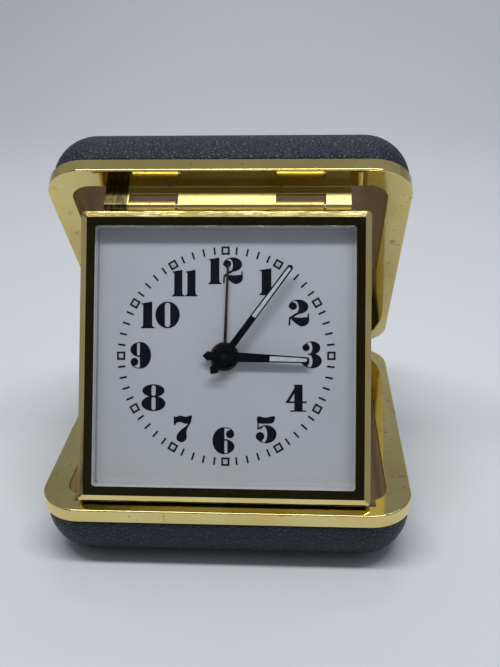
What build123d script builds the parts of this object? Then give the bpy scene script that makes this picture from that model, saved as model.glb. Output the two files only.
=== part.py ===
"""Folding travel alarm clock: two hinged half shells with a square clock standing between them.

Millimetres. The case stands open with its flat underside on the table at the origin.
The clock faces -Y, +X is to its right, +Z is up.
"""

import os
from math import acos, atan2, cos, degrees, hypot, radians, sin

from build123d import *

os.makedirs("parts", exist_ok=True)

# Case: two equal half shells, each a gilt rim, a covered pan and a lining tray
case_width = 72.5
case_depth = 72.0
shell_depth = 13.6
corner_radius = 8.4
rim_width = 5.0
band_height = 2.6
opening_radius = 4.0
flange_depth = 3.0
rim_sheet = 0.6
flange_sheet = 0.5
rim_edge = 0.25
cover_inset = 0.2
leather_sheet = 0.8
pan_sheet = 0.6
lining_sheet = 0.6
lining_pad = 0.25

# Case hinge along the back
hinge_length = 44.0
axis_gap = 1.4
case_knuckle = 1.1
case_pin = 0.55
leaf_sheet = 0.6
running = 0.05
turn_gap = 0.25
end_play = 0.15

# Hinge strip that hangs the clock from the lid's front flange
strip_end_room = 7.25
strip_end = 4.8
strip_window = 9.7
tongue_play = 0.3
strip_sheet = 0.6
strip_knuckle = 1.0
strip_pin = 0.5
strip_drop = 4.0
axis_above = 1.2
axis_behind = 1.3

# Clock case: chamfered bezel, box crystal, spacer frame, dial and back cover,
# hung a little to the left in the play of its hinge
clock_side_room = 3.175
clock_shift = -0.2
clock_height = 56.0
foot_inset = 2.4
foot_lift = 0.52
foot_gap = 0.2
bezel_corner = 0.8
bezel_chamfer = 1.15
bezel_raise = 0.36
bezel_land = 1.7
land_corner = 0.25
bezel_lip = 0.4
bezel_back = 1.7
cover_step = 1.0
cover_sheet = 0.6
crystal_sheet = 0.65
crystal_proud = 0.64
crystal_edge = 0.4
crystal_flange = 0.8
dial_depth = 2.4
dial_sheet = 0.5

# Movement
plate_sheet = 0.7
motion_room = 2.4
train_room = 3.4
rear_room = 0.5
wheel_sheet = 0.3
arbor_radius = 0.35
minute_angle = 36.2
hour_angle = 91.9
alarm_angle = 1.55

# Sizes that follow from the driving ones
open_width = case_width - 2 * rim_width
open_depth = case_depth - 2 * rim_width
strip_length = open_width - 2 * strip_end_room
clock_width = open_width - 2 * clock_side_room
scale = min(clock_width, clock_height) / 56.0
cover_corner = corner_radius + 1.2
edge_radius = cover_corner - 0.6
lining_edge = opening_radius - 0.2
axis_inset = rim_width + strip_knuckle
hinge_y = case_depth / 2 + axis_gap
rim_height = shell_depth
window_inset = bezel_chamfer + bezel_land
window_width = clock_width - 2 * window_inset
window_height = clock_height - 2 * window_inset
can_width = clock_width - 2 * cover_step
can_height = clock_height - 2 * cover_step
inner_width = can_width - 2 * cover_sheet
inner_height = can_height - 2 * cover_sheet
crystal_front = -bezel_raise - crystal_proud
crystal_back = bezel_lip + crystal_flange
dial_back = dial_depth + dial_sheet
front_plate_front = dial_back + motion_room
front_plate_back = front_plate_front + plate_sheet
rear_plate_front = front_plate_back + train_room
rear_plate_back = rear_plate_front + plate_sheet
cover_inside = rear_plate_back + rear_room
cover_back = cover_inside + cover_sheet
lid_room = shell_depth - leather_sheet - pan_sheet - lining_pad - lining_sheet
key_back = lid_room + strip_drop + axis_behind - 0.65

# The open case is a triangle of case hinge, clock hinge and clock foot
axis_reach = hypot(case_depth + axis_gap - axis_inset, strip_drop)
foot_reach = hypot(case_depth + axis_gap - foot_inset, foot_lift)
clock_reach = hypot(clock_height + axis_above, axis_behind)
spread = acos((axis_reach**2 + foot_reach**2 - clock_reach**2) / (2 * axis_reach * foot_reach))
foot_rise = atan2(foot_lift, case_depth + axis_gap - foot_inset)
axis_fall = atan2(strip_drop, case_depth + axis_gap - axis_inset)
lid_angle = spread + foot_rise + axis_fall
axis_y = hinge_y - axis_reach * cos(spread + foot_rise)
axis_z = rim_height + axis_reach * sin(spread + foot_rise)
foot_y = foot_inset - case_depth / 2
foot_z = rim_height + foot_lift
lean = atan2(axis_y - foot_y, axis_z - foot_z) - atan2(axis_behind, clock_height + axis_above)
fold_angle = 90 - degrees(lid_angle) + degrees(lean)
half_drop = clock_height / 2 + axis_above

# Planes: shells have local y to the front edge and local z into the shell,
# the clock has local y up its face and local z out of its face
BASE = Plane(origin=(0, 0, rim_height), x_dir=(1, 0, 0), z_dir=(0, 0, -1))
LID = Plane(
    origin=(0, hinge_y * (1 - cos(lid_angle)), rim_height + hinge_y * sin(lid_angle)),
    x_dir=(-1, 0, 0),
    z_dir=(0, sin(lid_angle), cos(lid_angle)),
)
CLOCK = Plane(
    origin=(
        clock_shift,
        axis_y - half_drop * sin(lean) - axis_behind * cos(lean),
        axis_z - half_drop * cos(lean) + axis_behind * sin(lean),
    ),
    x_dir=(1, 0, 0),
    z_dir=(0, -cos(lean), sin(lean)),
)
BASE_SIDE = Plane(origin=BASE.origin, x_dir=BASE.y_dir, z_dir=BASE.x_dir)
LID_SIDE = Plane(origin=LID.origin, x_dir=LID.y_dir, z_dir=LID.x_dir)
CLOCK_SIDE = Plane(origin=CLOCK.origin, x_dir=CLOCK.y_dir, z_dir=(1, 0, 0))


def polar(centre, distance, angle):
    """Point at a distance and an angle in degrees from a centre."""
    return (
        centre[0] + distance * cos(radians(angle)),
        centre[1] + distance * sin(radians(angle)),
    )


def save(builder, name):
    """Name a finished piece and write it."""
    builder.part.label = name
    export_step(builder.part, f"parts/{name}.step")


def at(depth):
    """Plane of the clock at a depth behind the front of its border."""
    return CLOCK.offset(-depth)


def block(width, height, radius, front, back, mode=Mode.ADD):
    """Rounded block of the clock between two depths."""
    with BuildSketch(at(front)) as outline:
        RectangleRounded(width, height, radius)
    extrude(outline.sketch, amount=front - back, mode=mode)


def disc(centre, radius, front, back, mode=Mode.ADD):
    """Round of the clock between two depths."""
    with BuildSketch(at(front)) as outline:
        with Locations(centre):
            Circle(radius)
    extrude(outline.sketch, amount=front - back, mode=mode)


def bar(start, end, half_width, front, back, mode=Mode.ADD):
    """Straight bar with round ends between two points of the clock."""
    run = (end[0] - start[0], end[1] - start[1])
    turn = degrees(atan2(run[1], run[0]))
    with BuildSketch(at(front)) as outline:
        with Locations(((start[0] + end[0]) / 2, (start[1] + end[1]) / 2)):
            SlotCenterToCenter(hypot(*run), 2 * half_width, rotation=turn)
    extrude(outline.sketch, amount=front - back, mode=mode)


def gear(centre, teeth, module, phase, front, back):
    """Toothed wheel of the clock, with one tooth at the phase angle."""
    root = module * (teeth / 2 - 1.05)
    tip = module * (teeth / 2 + 0.8)
    step = 360.0 / teeth
    points = []
    for tooth in range(teeth):
        for radius, share in ((root, -0.25), (tip, -0.08), (tip, 0.08), (root, 0.25)):
            points.append(polar(centre, radius, phase + (tooth + share) * step))
    with BuildSketch(at(front)) as outline:
        with BuildLine():
            Polyline(*points, close=True)
        make_face()
    extrude(outline.sketch, amount=front - back)


def meshed(angle, teeth):
    """Phase that puts a gap of the driven wheel at the tooth of its driver."""
    return angle + 180.0 + 180.0 / teeth


def spiral(centre, inner, pitch, half_turns, thickness, front, back):
    """Flat spiral strip made of half turns that grow outward."""
    with BuildSketch(at(front)) as strip:
        for turn in range(half_turns):
            side = 1 if turn % 2 == 0 else -1
            middle = inner + pitch * turn / 2
            eye = (centre[0] - side * pitch / 4, centre[1])
            start = 0 if side > 0 else 180
            with BuildLine():
                large = CenterArc(eye, middle + thickness / 2, start, 180)
                small = CenterArc(eye, middle - thickness / 2, start, 180)
                Line(large @ 0, small @ 0)
                Line(large @ 1, small @ 1)
            make_face()
    extrude(strip.sketch, amount=front - back)


def shell_rim(plane):
    """Gilt rim: flat face, outer band and inner flange of one formed sheet."""
    inward = Axis(plane.origin, plane.z_dir)
    with BuildPart() as rim:
        with BuildSketch(plane):
            RectangleRounded(case_width, case_depth, corner_radius)
            RectangleRounded(open_width, open_depth, opening_radius, mode=Mode.SUBTRACT)
        extrude(amount=rim_sheet)
        with BuildSketch(plane):
            RectangleRounded(case_width, case_depth, corner_radius)
            RectangleRounded(
                case_width - 2 * rim_sheet,
                case_depth - 2 * rim_sheet,
                corner_radius - rim_sheet,
                mode=Mode.SUBTRACT,
            )
        extrude(amount=band_height)
        with BuildSketch(plane):
            RectangleRounded(
                open_width + 2 * flange_sheet,
                open_depth + 2 * flange_sheet,
                opening_radius + flange_sheet,
            )
            RectangleRounded(open_width, open_depth, opening_radius, mode=Mode.SUBTRACT)
        extrude(amount=flange_depth)
        fillet(rim.faces().sort_by(inward)[0].edges(), rim_edge)
    return rim


def shell_bowl(plane, width, depth, corner, top, bottom, edge, sheet):
    """Open bowl with a rounded bottom edge, for the cover, the pan and the lining."""
    inward = Axis(plane.origin, plane.z_dir)
    with BuildPart() as bowl:
        with BuildSketch(plane.offset(top)):
            RectangleRounded(width, depth, corner)
        extrude(amount=bottom - top)
        fillet(bowl.faces().sort_by(inward)[-1].edges(), edge)
        offset(amount=-sheet, openings=bowl.faces().sort_by(inward)[0])
    return bowl


def shell_cover(plane):
    """Leatherette cover from the band to the closed side."""
    width = case_width - 2 * cover_inset
    depth = case_depth - 2 * cover_inset
    return shell_bowl(
        plane, width, depth, cover_corner, band_height, shell_depth, edge_radius, leather_sheet
    )


def shell_pan(plane):
    """Sheet pan inside the cover, up to the underside of the rim's flat face."""
    width = case_width - 2 * (cover_inset + leather_sheet)
    depth = case_depth - 2 * (cover_inset + leather_sheet)
    corner = cover_corner - leather_sheet
    edge = edge_radius - leather_sheet
    bottom = shell_depth - leather_sheet
    return shell_bowl(plane, width, depth, corner, rim_sheet, bottom, edge, pan_sheet)


def shell_lining(plane):
    """Lining tray under the rim's inner flange."""
    width = open_width + 2 * lining_sheet
    depth = open_depth + 2 * lining_sheet
    corner = opening_radius + lining_sheet
    bottom = lid_room + lining_sheet
    return shell_bowl(plane, width, depth, corner, flange_depth, bottom, lining_edge, lining_sheet)


def case_leaf(side, knuckles, gaps):
    """Hinge leaf on the back of a rim's band, notched where the other leaf's knuckles turn."""
    with BuildPart() as leaf:
        with BuildSketch(side.offset(-hinge_length / 2)):
            with Locations((-case_depth / 2 - leaf_sheet / 2, band_height / 2)):
                Rectangle(leaf_sheet, band_height)
        extrude(amount=hinge_length)
        for start, end in gaps:
            with BuildSketch(side.offset(start)):
                with Locations((-hinge_y, 0)):
                    Circle(case_knuckle + turn_gap)
            extrude(amount=end - start, mode=Mode.SUBTRACT)
        for start, end in knuckles:
            with BuildSketch(side.offset(start + end_play)):
                with Locations((-hinge_y, 0)):
                    Circle(case_knuckle)
            extrude(amount=end - start - 2 * end_play)
        with BuildSketch(side.offset(-hinge_length / 2)):
            with Locations((-hinge_y, 0)):
                Circle(case_pin + running)
        extrude(amount=hinge_length, mode=Mode.SUBTRACT)
    return leaf


# Base shell
base_rim = shell_rim(BASE)
base_cover = shell_cover(BASE)
base_pan = shell_pan(BASE)
base_lining = shell_lining(BASE)

# Sloped rest in the base's front rim, parallel to the clock's underside
rest_half = clock_width / 2 + 1.0
rest_front = case_depth / 2 - foot_inset + 0.05
rest_turn = (foot_lift - foot_gap / cos(lean)) / sin(lean) * cos(lean)
rest_top = case_depth / 2 - foot_inset - rest_turn
rest_fall = (rest_top - open_depth / 2) * sin(lean) / cos(lean)
rest_cut = rest_fall + 0.8
with BuildPart() as clock_rest:
    with BuildSketch(BASE_SIDE.offset(-rest_half)):
        with BuildLine():
            Polyline(
                (rest_front, 0),
                (rest_top, 0),
                (open_depth / 2, rest_fall),
                (open_depth / 2, rest_cut),
                (open_depth / 2 + flange_sheet, rest_cut),
                (rest_front, rim_sheet),
                close=True,
            )
        make_face()
    extrude(amount=2 * rest_half)

with BuildPart() as base_rim_notched:
    add(base_rim.part)
    with BuildSketch(BASE_SIDE.offset(-rest_half)):
        with BuildLine():
            Polyline(
                (rest_front, -1),
                (open_depth / 2 - opening_radius, -1),
                (open_depth / 2 - opening_radius, rest_cut),
                (rest_front, rest_cut),
                close=True,
            )
        make_face()
    extrude(amount=2 * rest_half, mode=Mode.SUBTRACT)

# Lid shell
lid_rim = shell_rim(LID)
lid_cover = shell_cover(LID)
lid_pan = shell_pan(LID)
lid_lining = shell_lining(LID)

# Case hinge: three knuckles on the base, two on the lid, one pin
knuckle = hinge_length / 5
knuckle_ends = [-hinge_length / 2 + i * knuckle for i in range(6)]
base_slots = [(knuckle_ends[i], knuckle_ends[i + 1]) for i in (0, 2, 4)]
lid_slots = [(knuckle_ends[i], knuckle_ends[i + 1]) for i in (1, 3)]
case_hinge_base_leaf = case_leaf(BASE_SIDE, base_slots, lid_slots)
case_hinge_lid_leaf = case_leaf(LID_SIDE, lid_slots, base_slots)

with BuildPart() as case_hinge_pin:
    with BuildSketch(BASE_SIDE.offset(-hinge_length / 2)):
        with Locations((-hinge_y, 0)):
            Circle(case_pin)
    extrude(amount=hinge_length)

# Clock hinge: strip riveted to the lid's front flange, windows for the clock's two tongues
strip_axis = (case_depth / 2 - axis_inset, -strip_drop)
strip_foot = flange_depth - 0.4
strip_head = strip_drop - 2.2
window_near = strip_length / 2 - strip_end - strip_window
window_far = strip_length / 2 - strip_end
rivet_sites = (-strip_length / 2 + 6, 0, strip_length / 2 - 6)
rivet_plane = Plane(
    origin=LID.from_local_coords((0, open_depth / 2, strip_foot / 2)),
    x_dir=LID.x_dir,
    z_dir=LID.y_dir,
)
with BuildPart() as clock_hinge_strip:
    with BuildSketch(LID_SIDE.offset(-strip_length / 2)):
        with Locations((open_depth / 2 - strip_sheet / 2, (strip_foot - strip_drop) / 2)):
            Rectangle(strip_sheet, strip_foot + strip_drop)
        with Locations(strip_axis):
            Circle(strip_knuckle)
    extrude(amount=strip_length)
    with BuildSketch(LID_SIDE.offset(-strip_length / 2)):
        with Locations(strip_axis):
            Circle(strip_pin + running)
    extrude(amount=strip_length, mode=Mode.SUBTRACT)
    for near, far in ((-window_far, -window_near), (window_near, window_far)):
        with BuildSketch(LID_SIDE.offset(near)):
            with Locations((open_depth / 2, -strip_drop - 3 + strip_drop - strip_head)):
                Rectangle(6, 6)
        extrude(amount=far - near, mode=Mode.SUBTRACT)
    with BuildSketch(rivet_plane):
        with Locations(*[(site, 0) for site in rivet_sites]):
            Circle(0.5)
    extrude(amount=-2, mode=Mode.SUBTRACT)

with BuildPart() as clock_hinge_rivets:
    with BuildSketch(rivet_plane):
        with Locations(*[(site, 0) for site in rivet_sites]):
            Circle(0.5)
    extrude(amount=-strip_sheet)
    with BuildSketch(rivet_plane.offset(-strip_sheet)):
        with Locations(*[(site, 0) for site in rivet_sites]):
            Circle(0.9)
    extrude(amount=-0.35)

with BuildPart() as clock_hinge_pin:
    with BuildSketch(LID_SIDE.offset(-strip_length / 2)):
        with Locations(strip_axis):
            Circle(strip_pin)
    extrude(amount=strip_length)

tongue_axis = (half_drop, -axis_behind)
tongue_foot = can_height / 2
with BuildPart() as clock_hinge_tongues:
    for near, far in ((-window_far, -window_near), (window_near, window_far)):
        with BuildSketch(CLOCK_SIDE.offset(near + tongue_play)):
            with Locations(tongue_axis):
                Circle(strip_knuckle)
            with Locations(((tongue_foot + half_drop) / 2, -bezel_back - strip_sheet / 2)):
                Rectangle(half_drop - tongue_foot, strip_sheet)
            with Locations((tongue_foot + strip_sheet / 2, -bezel_back - 3.2)):
                Rectangle(strip_sheet, 6.4)
            with Locations(tongue_axis):
                Circle(strip_pin + running, mode=Mode.SUBTRACT)
        extrude(amount=far - near - 2 * tongue_play)

# Bezel: outer chamfer, flat front, window and a rebate behind for the crystal's flange
outward = Axis(CLOCK.origin, CLOCK.z_dir)
with BuildPart() as bezel:
    block(clock_width, clock_height, bezel_corner, 0, bezel_back)
    with BuildSketch(CLOCK):
        RectangleRounded(clock_width, clock_height, bezel_corner)
    with BuildSketch(at(-bezel_raise)):
        RectangleRounded(
            clock_width - 2 * bezel_chamfer, clock_height - 2 * bezel_chamfer, land_corner
        )
    loft(ruled=True)
    block(window_width, window_height, 0.6, -bezel_raise, bezel_back, Mode.SUBTRACT)
    block(inner_width, inner_height, 0.6, bezel_lip, bezel_back, Mode.SUBTRACT)

with BuildPart() as crystal:
    block(window_width - 0.1, window_height - 0.1, 0.6, crystal_front, crystal_back)
    fillet(crystal.faces().sort_by(outward)[-1].edges(), crystal_edge)
    block(inner_width - 0.2, inner_height - 0.2, 0.6, bezel_lip, crystal_back)
    block(
        window_width - 2 * crystal_sheet,
        window_height - 2 * crystal_sheet,
        0.5,
        crystal_front + crystal_sheet,
        crystal_back,
        Mode.SUBTRACT,
    )

with BuildPart() as dial_spacer:
    block(inner_width - 0.2, inner_height - 0.2, 0.6, crystal_back, dial_depth)
    block(window_width, window_height, 0.5, crystal_back, dial_depth, Mode.SUBTRACT)

# Plan of the movement, seen from the front
CENTRE = (0.0, 0.0)
barrel_module = 0.30 * scale
centre_module = 0.24 * scale
third_module = 0.20 * scale
fourth_module = 0.18 * scale
cannon_module = 0.25 * scale
hour_module = 0.24 * scale
barrel_angle = 220.0
third_angle = 100.0
fourth_angle = 0.0
escape_angle = 20.0
strike_angle = 75.0
minute_side = -60.0
alarm_side = 150.0
TIME_BARREL = polar(CENTRE, barrel_module * (68 + 12) / 2, barrel_angle)
THIRD = polar(CENTRE, centre_module * (64 + 10) / 2, third_angle)
FOURTH = polar(THIRD, third_module * (60 + 10) / 2, fourth_angle)
ESCAPE = polar(FOURTH, fourth_module * (60 + 10) / 2, escape_angle)
PALLET = polar(ESCAPE, 5.2 * scale, 75)
BALANCE = polar(PALLET, 5.5 * scale, 170)
ALARM_BARREL = polar(CENTRE, 14.3 * scale, -36.5)
STRIKE = polar(ALARM_BARREL, barrel_module * (54 + 10) / 2, strike_angle)
HAMMER = polar(STRIKE, 6.0 * scale, 33)
MINUTE_WHEEL = polar(CENTRE, cannon_module * (12 + 36) / 2, minute_side)
ALARM_SET = polar(CENTRE, barrel_module * (50 + 14) / 2, alarm_side)
STOP = (17.0 * scale, 14.0 * scale)
plate_size = 46.0 * scale
pillar = 19.5 * scale
PILLARS = [(sx * pillar, sy * pillar) for sx in (-1, 1) for sy in (-1, 1)]
PIVOTS = [THIRD, FOURTH, ESCAPE, PALLET, BALANCE, STRIKE, HAMMER]
centre_arbor_radius = 0.7
cannon_radius = 1.0
hour_pipe = 1.5
alarm_pipe = 2.1
wind_radius = 1.0
set_radius = 0.5
stop_radius = 0.9
stop_cap = 2.4
stop_travel_room = 1.2
screw_shank = 0.7
screw_head = 1.4
regulator_reach = 4.5 * scale

# Depths of the wheels
great_front = front_plate_back + 0.2
great_back = great_front + 0.4
drum_back = great_back + 1.8
centre_front = rear_plate_front - 0.7
fourth_front = front_plate_back + 1.6
escape_front = front_plate_back + 0.4
lever_front = front_plate_back + 0.95
balance_front = rear_plate_front - 0.9
alarm_wheel_front = dial_back + 0.2
hour_wheel_front = dial_back + 0.8
minute_wheel_front = dial_back + 1.6
alarm_hand_front = dial_depth - 0.75
hour_hand_front = dial_depth - 1.5
minute_hand_front = dial_depth - 2.2
hand_sheet = 0.25

with BuildPart() as dial:
    block(inner_width - 0.2, inner_height - 0.2, 0.6, dial_depth, dial_back)
    disc(CENTRE, alarm_pipe + 0.3, dial_depth, dial_back, Mode.SUBTRACT)

# Back cover: a can behind the bezel, pierced for the keys, knobs, button and regulator
with BuildPart() as back_cover:
    block(can_width, can_height, 1.6, bezel_back, cover_back)
    fillet(back_cover.faces().sort_by(outward)[0].edges(), 1.2)
    block(inner_width, inner_height, 0.6, bezel_back, cover_inside, Mode.SUBTRACT)
    disc(CENTRE, centre_arbor_radius + running, cover_inside, cover_back, Mode.SUBTRACT)
    disc(ALARM_SET, set_radius + running, cover_inside, cover_back, Mode.SUBTRACT)
    disc(STOP, stop_radius + running, cover_inside, cover_back, Mode.SUBTRACT)
    for place in (TIME_BARREL, ALARM_BARREL):
        disc(place, wind_radius + running, cover_inside, cover_back, Mode.SUBTRACT)
    for place in (PILLARS[0], PILLARS[3]):
        disc(place, screw_shank, cover_inside, cover_back, Mode.SUBTRACT)
    slot_middle = polar(BALANCE, regulator_reach - 0.13, 90)
    slot_ends = (polar(slot_middle, 2.0 * scale, 180), polar(slot_middle, 2.0 * scale, 0))
    bar(slot_ends[0], slot_ends[1], 0.85, cover_inside, cover_back, Mode.SUBTRACT)

with BuildPart() as back_cover_screws:
    for place in (PILLARS[0], PILLARS[3]):
        disc(place, screw_shank, rear_plate_back, cover_back)
        disc(place, screw_head, cover_back, cover_back + 0.6)
        bar(
            (place[0] - 1.5 * screw_head, place[1]),
            (place[0] + 1.5 * screw_head, place[1]),
            0.2,
            cover_back + 0.35,
            cover_back + 0.7,
            Mode.SUBTRACT,
        )

# Plates and pillars
with BuildPart() as front_plate:
    block(plate_size, plate_size, 4 * scale, front_plate_front, front_plate_back)
    for place in PILLARS:
        disc(place, 1.2, dial_back, front_plate_front)
    disc(MINUTE_WHEEL, 0.5, hour_wheel_front - 0.2, front_plate_front)
    disc(CENTRE, cannon_radius + running, front_plate_front, front_plate_back, Mode.SUBTRACT)
    disc(ALARM_SET, set_radius + running, front_plate_front, front_plate_back, Mode.SUBTRACT)
    for place in (TIME_BARREL, ALARM_BARREL):
        disc(place, wind_radius + running, front_plate_front, front_plate_back, Mode.SUBTRACT)
    for place in PIVOTS:
        disc(place, arbor_radius + running, front_plate_front, front_plate_back, Mode.SUBTRACT)

with BuildPart() as rear_plate:
    block(plate_size, plate_size, 4 * scale, rear_plate_front, rear_plate_back)
    disc(BALANCE, 0.8, rear_plate_back, rear_plate_back + 0.4)
    disc(CENTRE, centre_arbor_radius + running, rear_plate_front, rear_plate_back, Mode.SUBTRACT)
    disc(ALARM_SET, set_radius + running, rear_plate_front, rear_plate_back, Mode.SUBTRACT)
    disc(STOP, stop_radius + running, rear_plate_front, rear_plate_back, Mode.SUBTRACT)
    for place in (TIME_BARREL, ALARM_BARREL):
        disc(place, wind_radius + running, rear_plate_front, rear_plate_back, Mode.SUBTRACT)
    for place in PIVOTS:
        disc(place, arbor_radius + running, rear_plate_front, rear_plate_back, Mode.SUBTRACT)

with BuildPart() as plate_pillars:
    for place in PILLARS:
        disc(place, 1.4, front_plate_back, rear_plate_front)


def barrel(centre, teeth, phase):
    """Spring barrel: great wheel with an open drum behind it."""
    drum = barrel_module * teeth / 2 - 1.0
    with BuildPart() as part:
        gear(centre, teeth, barrel_module, phase, great_front, great_back)
        disc(centre, drum, great_back, drum_back)
        disc(centre, drum - 0.4, great_back, drum_back, Mode.SUBTRACT)
        disc(centre, wind_radius + running, great_front, great_back, Mode.SUBTRACT)
    return part


def mainspring(centre, teeth, half_turns):
    """Mainspring coiled between the arbor's core and the drum's wall."""
    room = barrel_module * teeth / 2 - 1.4 - 0.6 - 2.1
    pitch = 2 * room / (half_turns - 1)
    with BuildPart() as part:
        spiral(centre, 2.1, pitch, half_turns, 0.25, great_back + 0.2, drum_back - 0.2)
    return part


def winding_arbor(centre):
    """Arbor with the spring's core and a ratchet wheel behind the rear plate."""
    with BuildPart() as part:
        disc(centre, wind_radius, front_plate_front, key_back - 1.0)
        disc(centre, 1.7, great_back + 0.1, drum_back)
        gear(centre, 24, 0.28 * scale, 0, rear_plate_back + 0.1, rear_plate_back + 0.4)
    return part


def winding_key(centre, turn):
    """Low two-winged key."""
    with BuildPart() as part:
        disc(centre, 2.3, cover_back + 0.3, cover_back + 1.2)
        bar(polar(centre, 4.6, turn), polar(centre, -4.6, turn), 0.75, cover_back + 0.5, key_back)
        disc(centre, wind_radius, cover_back + 0.3, key_back - 1.0, Mode.SUBTRACT)
    return part


def setting_knob(centre, radius, bore):
    """Grooved setting knob."""
    with BuildPart() as part:
        disc(centre, radius, cover_back + 0.3, key_back - 0.3)
        for groove in range(12):
            place = polar(centre, radius + 0.25, groove * 30)
            disc(place, 0.5, cover_back + 0.3, key_back - 0.3, Mode.SUBTRACT)
        disc(centre, bore, cover_back + 0.3, key_back - 1.0, Mode.SUBTRACT)
    return part


# Barrels, springs, winding arbors and keys
time_barrel = barrel(TIME_BARREL, 68, meshed(barrel_angle, 68))
alarm_barrel = barrel(ALARM_BARREL, 54, strike_angle)
time_mainspring = mainspring(TIME_BARREL, 68, 16)
alarm_mainspring = mainspring(ALARM_BARREL, 54, 12)
time_arbor = winding_arbor(TIME_BARREL)
alarm_arbor = winding_arbor(ALARM_BARREL)
time_key = winding_key(TIME_BARREL, 20)
alarm_key = winding_key(ALARM_BARREL, -20)

ratchet_tip = 0.28 * scale * 12.8
with BuildPart() as winding_clicks:
    for centre, side in ((TIME_BARREL, 90), (ALARM_BARREL, 90)):
        start = polar(polar(centre, ratchet_tip + 0.6, side), 2.2, side + 90)
        end = polar(polar(centre, ratchet_tip + 0.6, side), 0.4, side - 90)
        bar(start, end, 0.4, rear_plate_back, rear_plate_back + 0.35)

# Going train
with BuildPart() as centre_wheel:
    gear(CENTRE, 12, barrel_module, barrel_angle, great_front - 0.1, great_back + 0.1)
    disc(CENTRE, 1.1, great_back, centre_front)
    gear(CENTRE, 64, centre_module, third_angle, centre_front, centre_front + wheel_sheet)
    disc(
        CENTRE,
        centre_arbor_radius + running,
        great_front - 0.1,
        centre_front + wheel_sheet,
        Mode.SUBTRACT,
    )

with BuildPart() as third_wheel:
    disc(THIRD, arbor_radius, front_plate_front + 0.2, rear_plate_back - 0.2)
    gear(THIRD, 10, centre_module, meshed(third_angle, 10), centre_front - 0.2, rear_plate_front - 0.2)
    gear(THIRD, 60, third_module, fourth_angle, great_front + 0.1, great_front + 0.1 + wheel_sheet)

with BuildPart() as fourth_wheel:
    disc(FOURTH, arbor_radius, front_plate_front + 0.2, rear_plate_back - 0.2)
    gear(FOURTH, 10, third_module, meshed(fourth_angle, 10), great_front, great_back + 0.1)
    gear(FOURTH, 60, fourth_module, escape_angle, fourth_front, fourth_front + wheel_sheet)

with BuildPart() as escape_wheel:
    disc(ESCAPE, arbor_radius, front_plate_front + 0.2, rear_plate_back - 0.2)
    gear(ESCAPE, 10, fourth_module, meshed(escape_angle, 10), fourth_front - 0.2, fourth_front + 0.5)
    gear(ESCAPE, 15, 0.44 * scale, 0, escape_front, escape_front + wheel_sheet)

with BuildPart() as pallet_lever:
    disc(PALLET, arbor_radius, front_plate_front + 0.2, rear_plate_back - 0.2)
    disc(PALLET, 0.8, lever_front, lever_front + wheel_sheet)
    bar(PALLET, polar(PALLET, 3.6 * scale, 170), 0.3, lever_front, lever_front + wheel_sheet)
    for side in (33, 117):
        pin = polar(ESCAPE, 4.2 * scale, side)
        bar(PALLET, pin, 0.25, lever_front, lever_front + wheel_sheet)
        disc(pin, 0.2, escape_front, lever_front)

with BuildPart() as balance_wheel:
    disc(BALANCE, 4.9 * scale, balance_front, balance_front + 0.4)
    disc(BALANCE, 4.2 * scale, balance_front, balance_front + 0.4, Mode.SUBTRACT)
    bar(
        polar(BALANCE, 4.4 * scale, 20),
        polar(BALANCE, -4.4 * scale, 20),
        0.4,
        balance_front,
        balance_front + 0.4,
    )
    disc(BALANCE, arbor_radius, front_plate_front + 0.2, rear_plate_back - 0.2)
    disc(BALANCE, 0.8, lever_front + 0.05, lever_front + 0.25)

with BuildPart() as hairspring:
    spiral(
        BALANCE, 0.9, 0.7 * scale, 7, 0.14, rear_plate_front - 0.35, rear_plate_front - 0.15
    )
    disc(
        (BALANCE[0] - 0.7 * scale / 4 - 0.9 - 0.7 * scale * 3, BALANCE[1]),
        0.3,
        rear_plate_front - 0.35,
        rear_plate_front,
    )

with BuildPart() as regulator_lever:
    disc(BALANCE, 1.5, rear_plate_back + 0.05, rear_plate_back + 0.35)
    bar(
        BALANCE,
        polar(BALANCE, regulator_reach, 90),
        0.4,
        rear_plate_back + 0.05,
        rear_plate_back + 0.35,
    )
    disc(polar(BALANCE, regulator_reach, 90), 0.45, rear_plate_back + 0.05, cover_back + 0.8)
    disc(BALANCE, 0.8 + running, rear_plate_back, rear_plate_back + 0.4, Mode.SUBTRACT)

# Alarm work
with BuildPart() as strike_wheel:
    disc(STRIKE, arbor_radius, front_plate_front + 0.2, rear_plate_back - 0.2)
    gear(STRIKE, 10, barrel_module, meshed(strike_angle, 10), great_front, great_back)
    gear(STRIKE, 12, 0.40 * scale, 33, centre_front, centre_front + wheel_sheet)

with BuildPart() as alarm_hammer:
    disc(HAMMER, arbor_radius, front_plate_front + 0.2, rear_plate_back - 0.2)
    disc(HAMMER, 0.9, centre_front, centre_front + wheel_sheet)
    bar(HAMMER, polar(HAMMER, 2.4 * scale, 213), 0.3, centre_front, centre_front + wheel_sheet)
    bar(HAMMER, polar(HAMMER, 7.0 * scale, 72), 0.35, centre_front, centre_front + wheel_sheet)
    disc(polar(HAMMER, 7.0 * scale, 72), 1.3, centre_front - 0.9, centre_front + wheel_sheet)

with BuildPart() as alarm_stop_button:
    disc(STOP, stop_radius, rear_plate_front - 0.3, cover_back + stop_travel_room)
    disc(STOP, stop_cap, cover_back + stop_travel_room, key_back)

# Setting work and hands
with BuildPart() as centre_arbor:
    disc(CENTRE, centre_arbor_radius, minute_hand_front - 0.25, key_back - 1.0)
    disc(CENTRE, cannon_radius, minute_hand_front + hand_sheet, front_plate_front + 0.3)
    gear(CENTRE, 12, cannon_module, minute_side, minute_wheel_front - 0.1, minute_wheel_front + 0.4)

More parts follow.
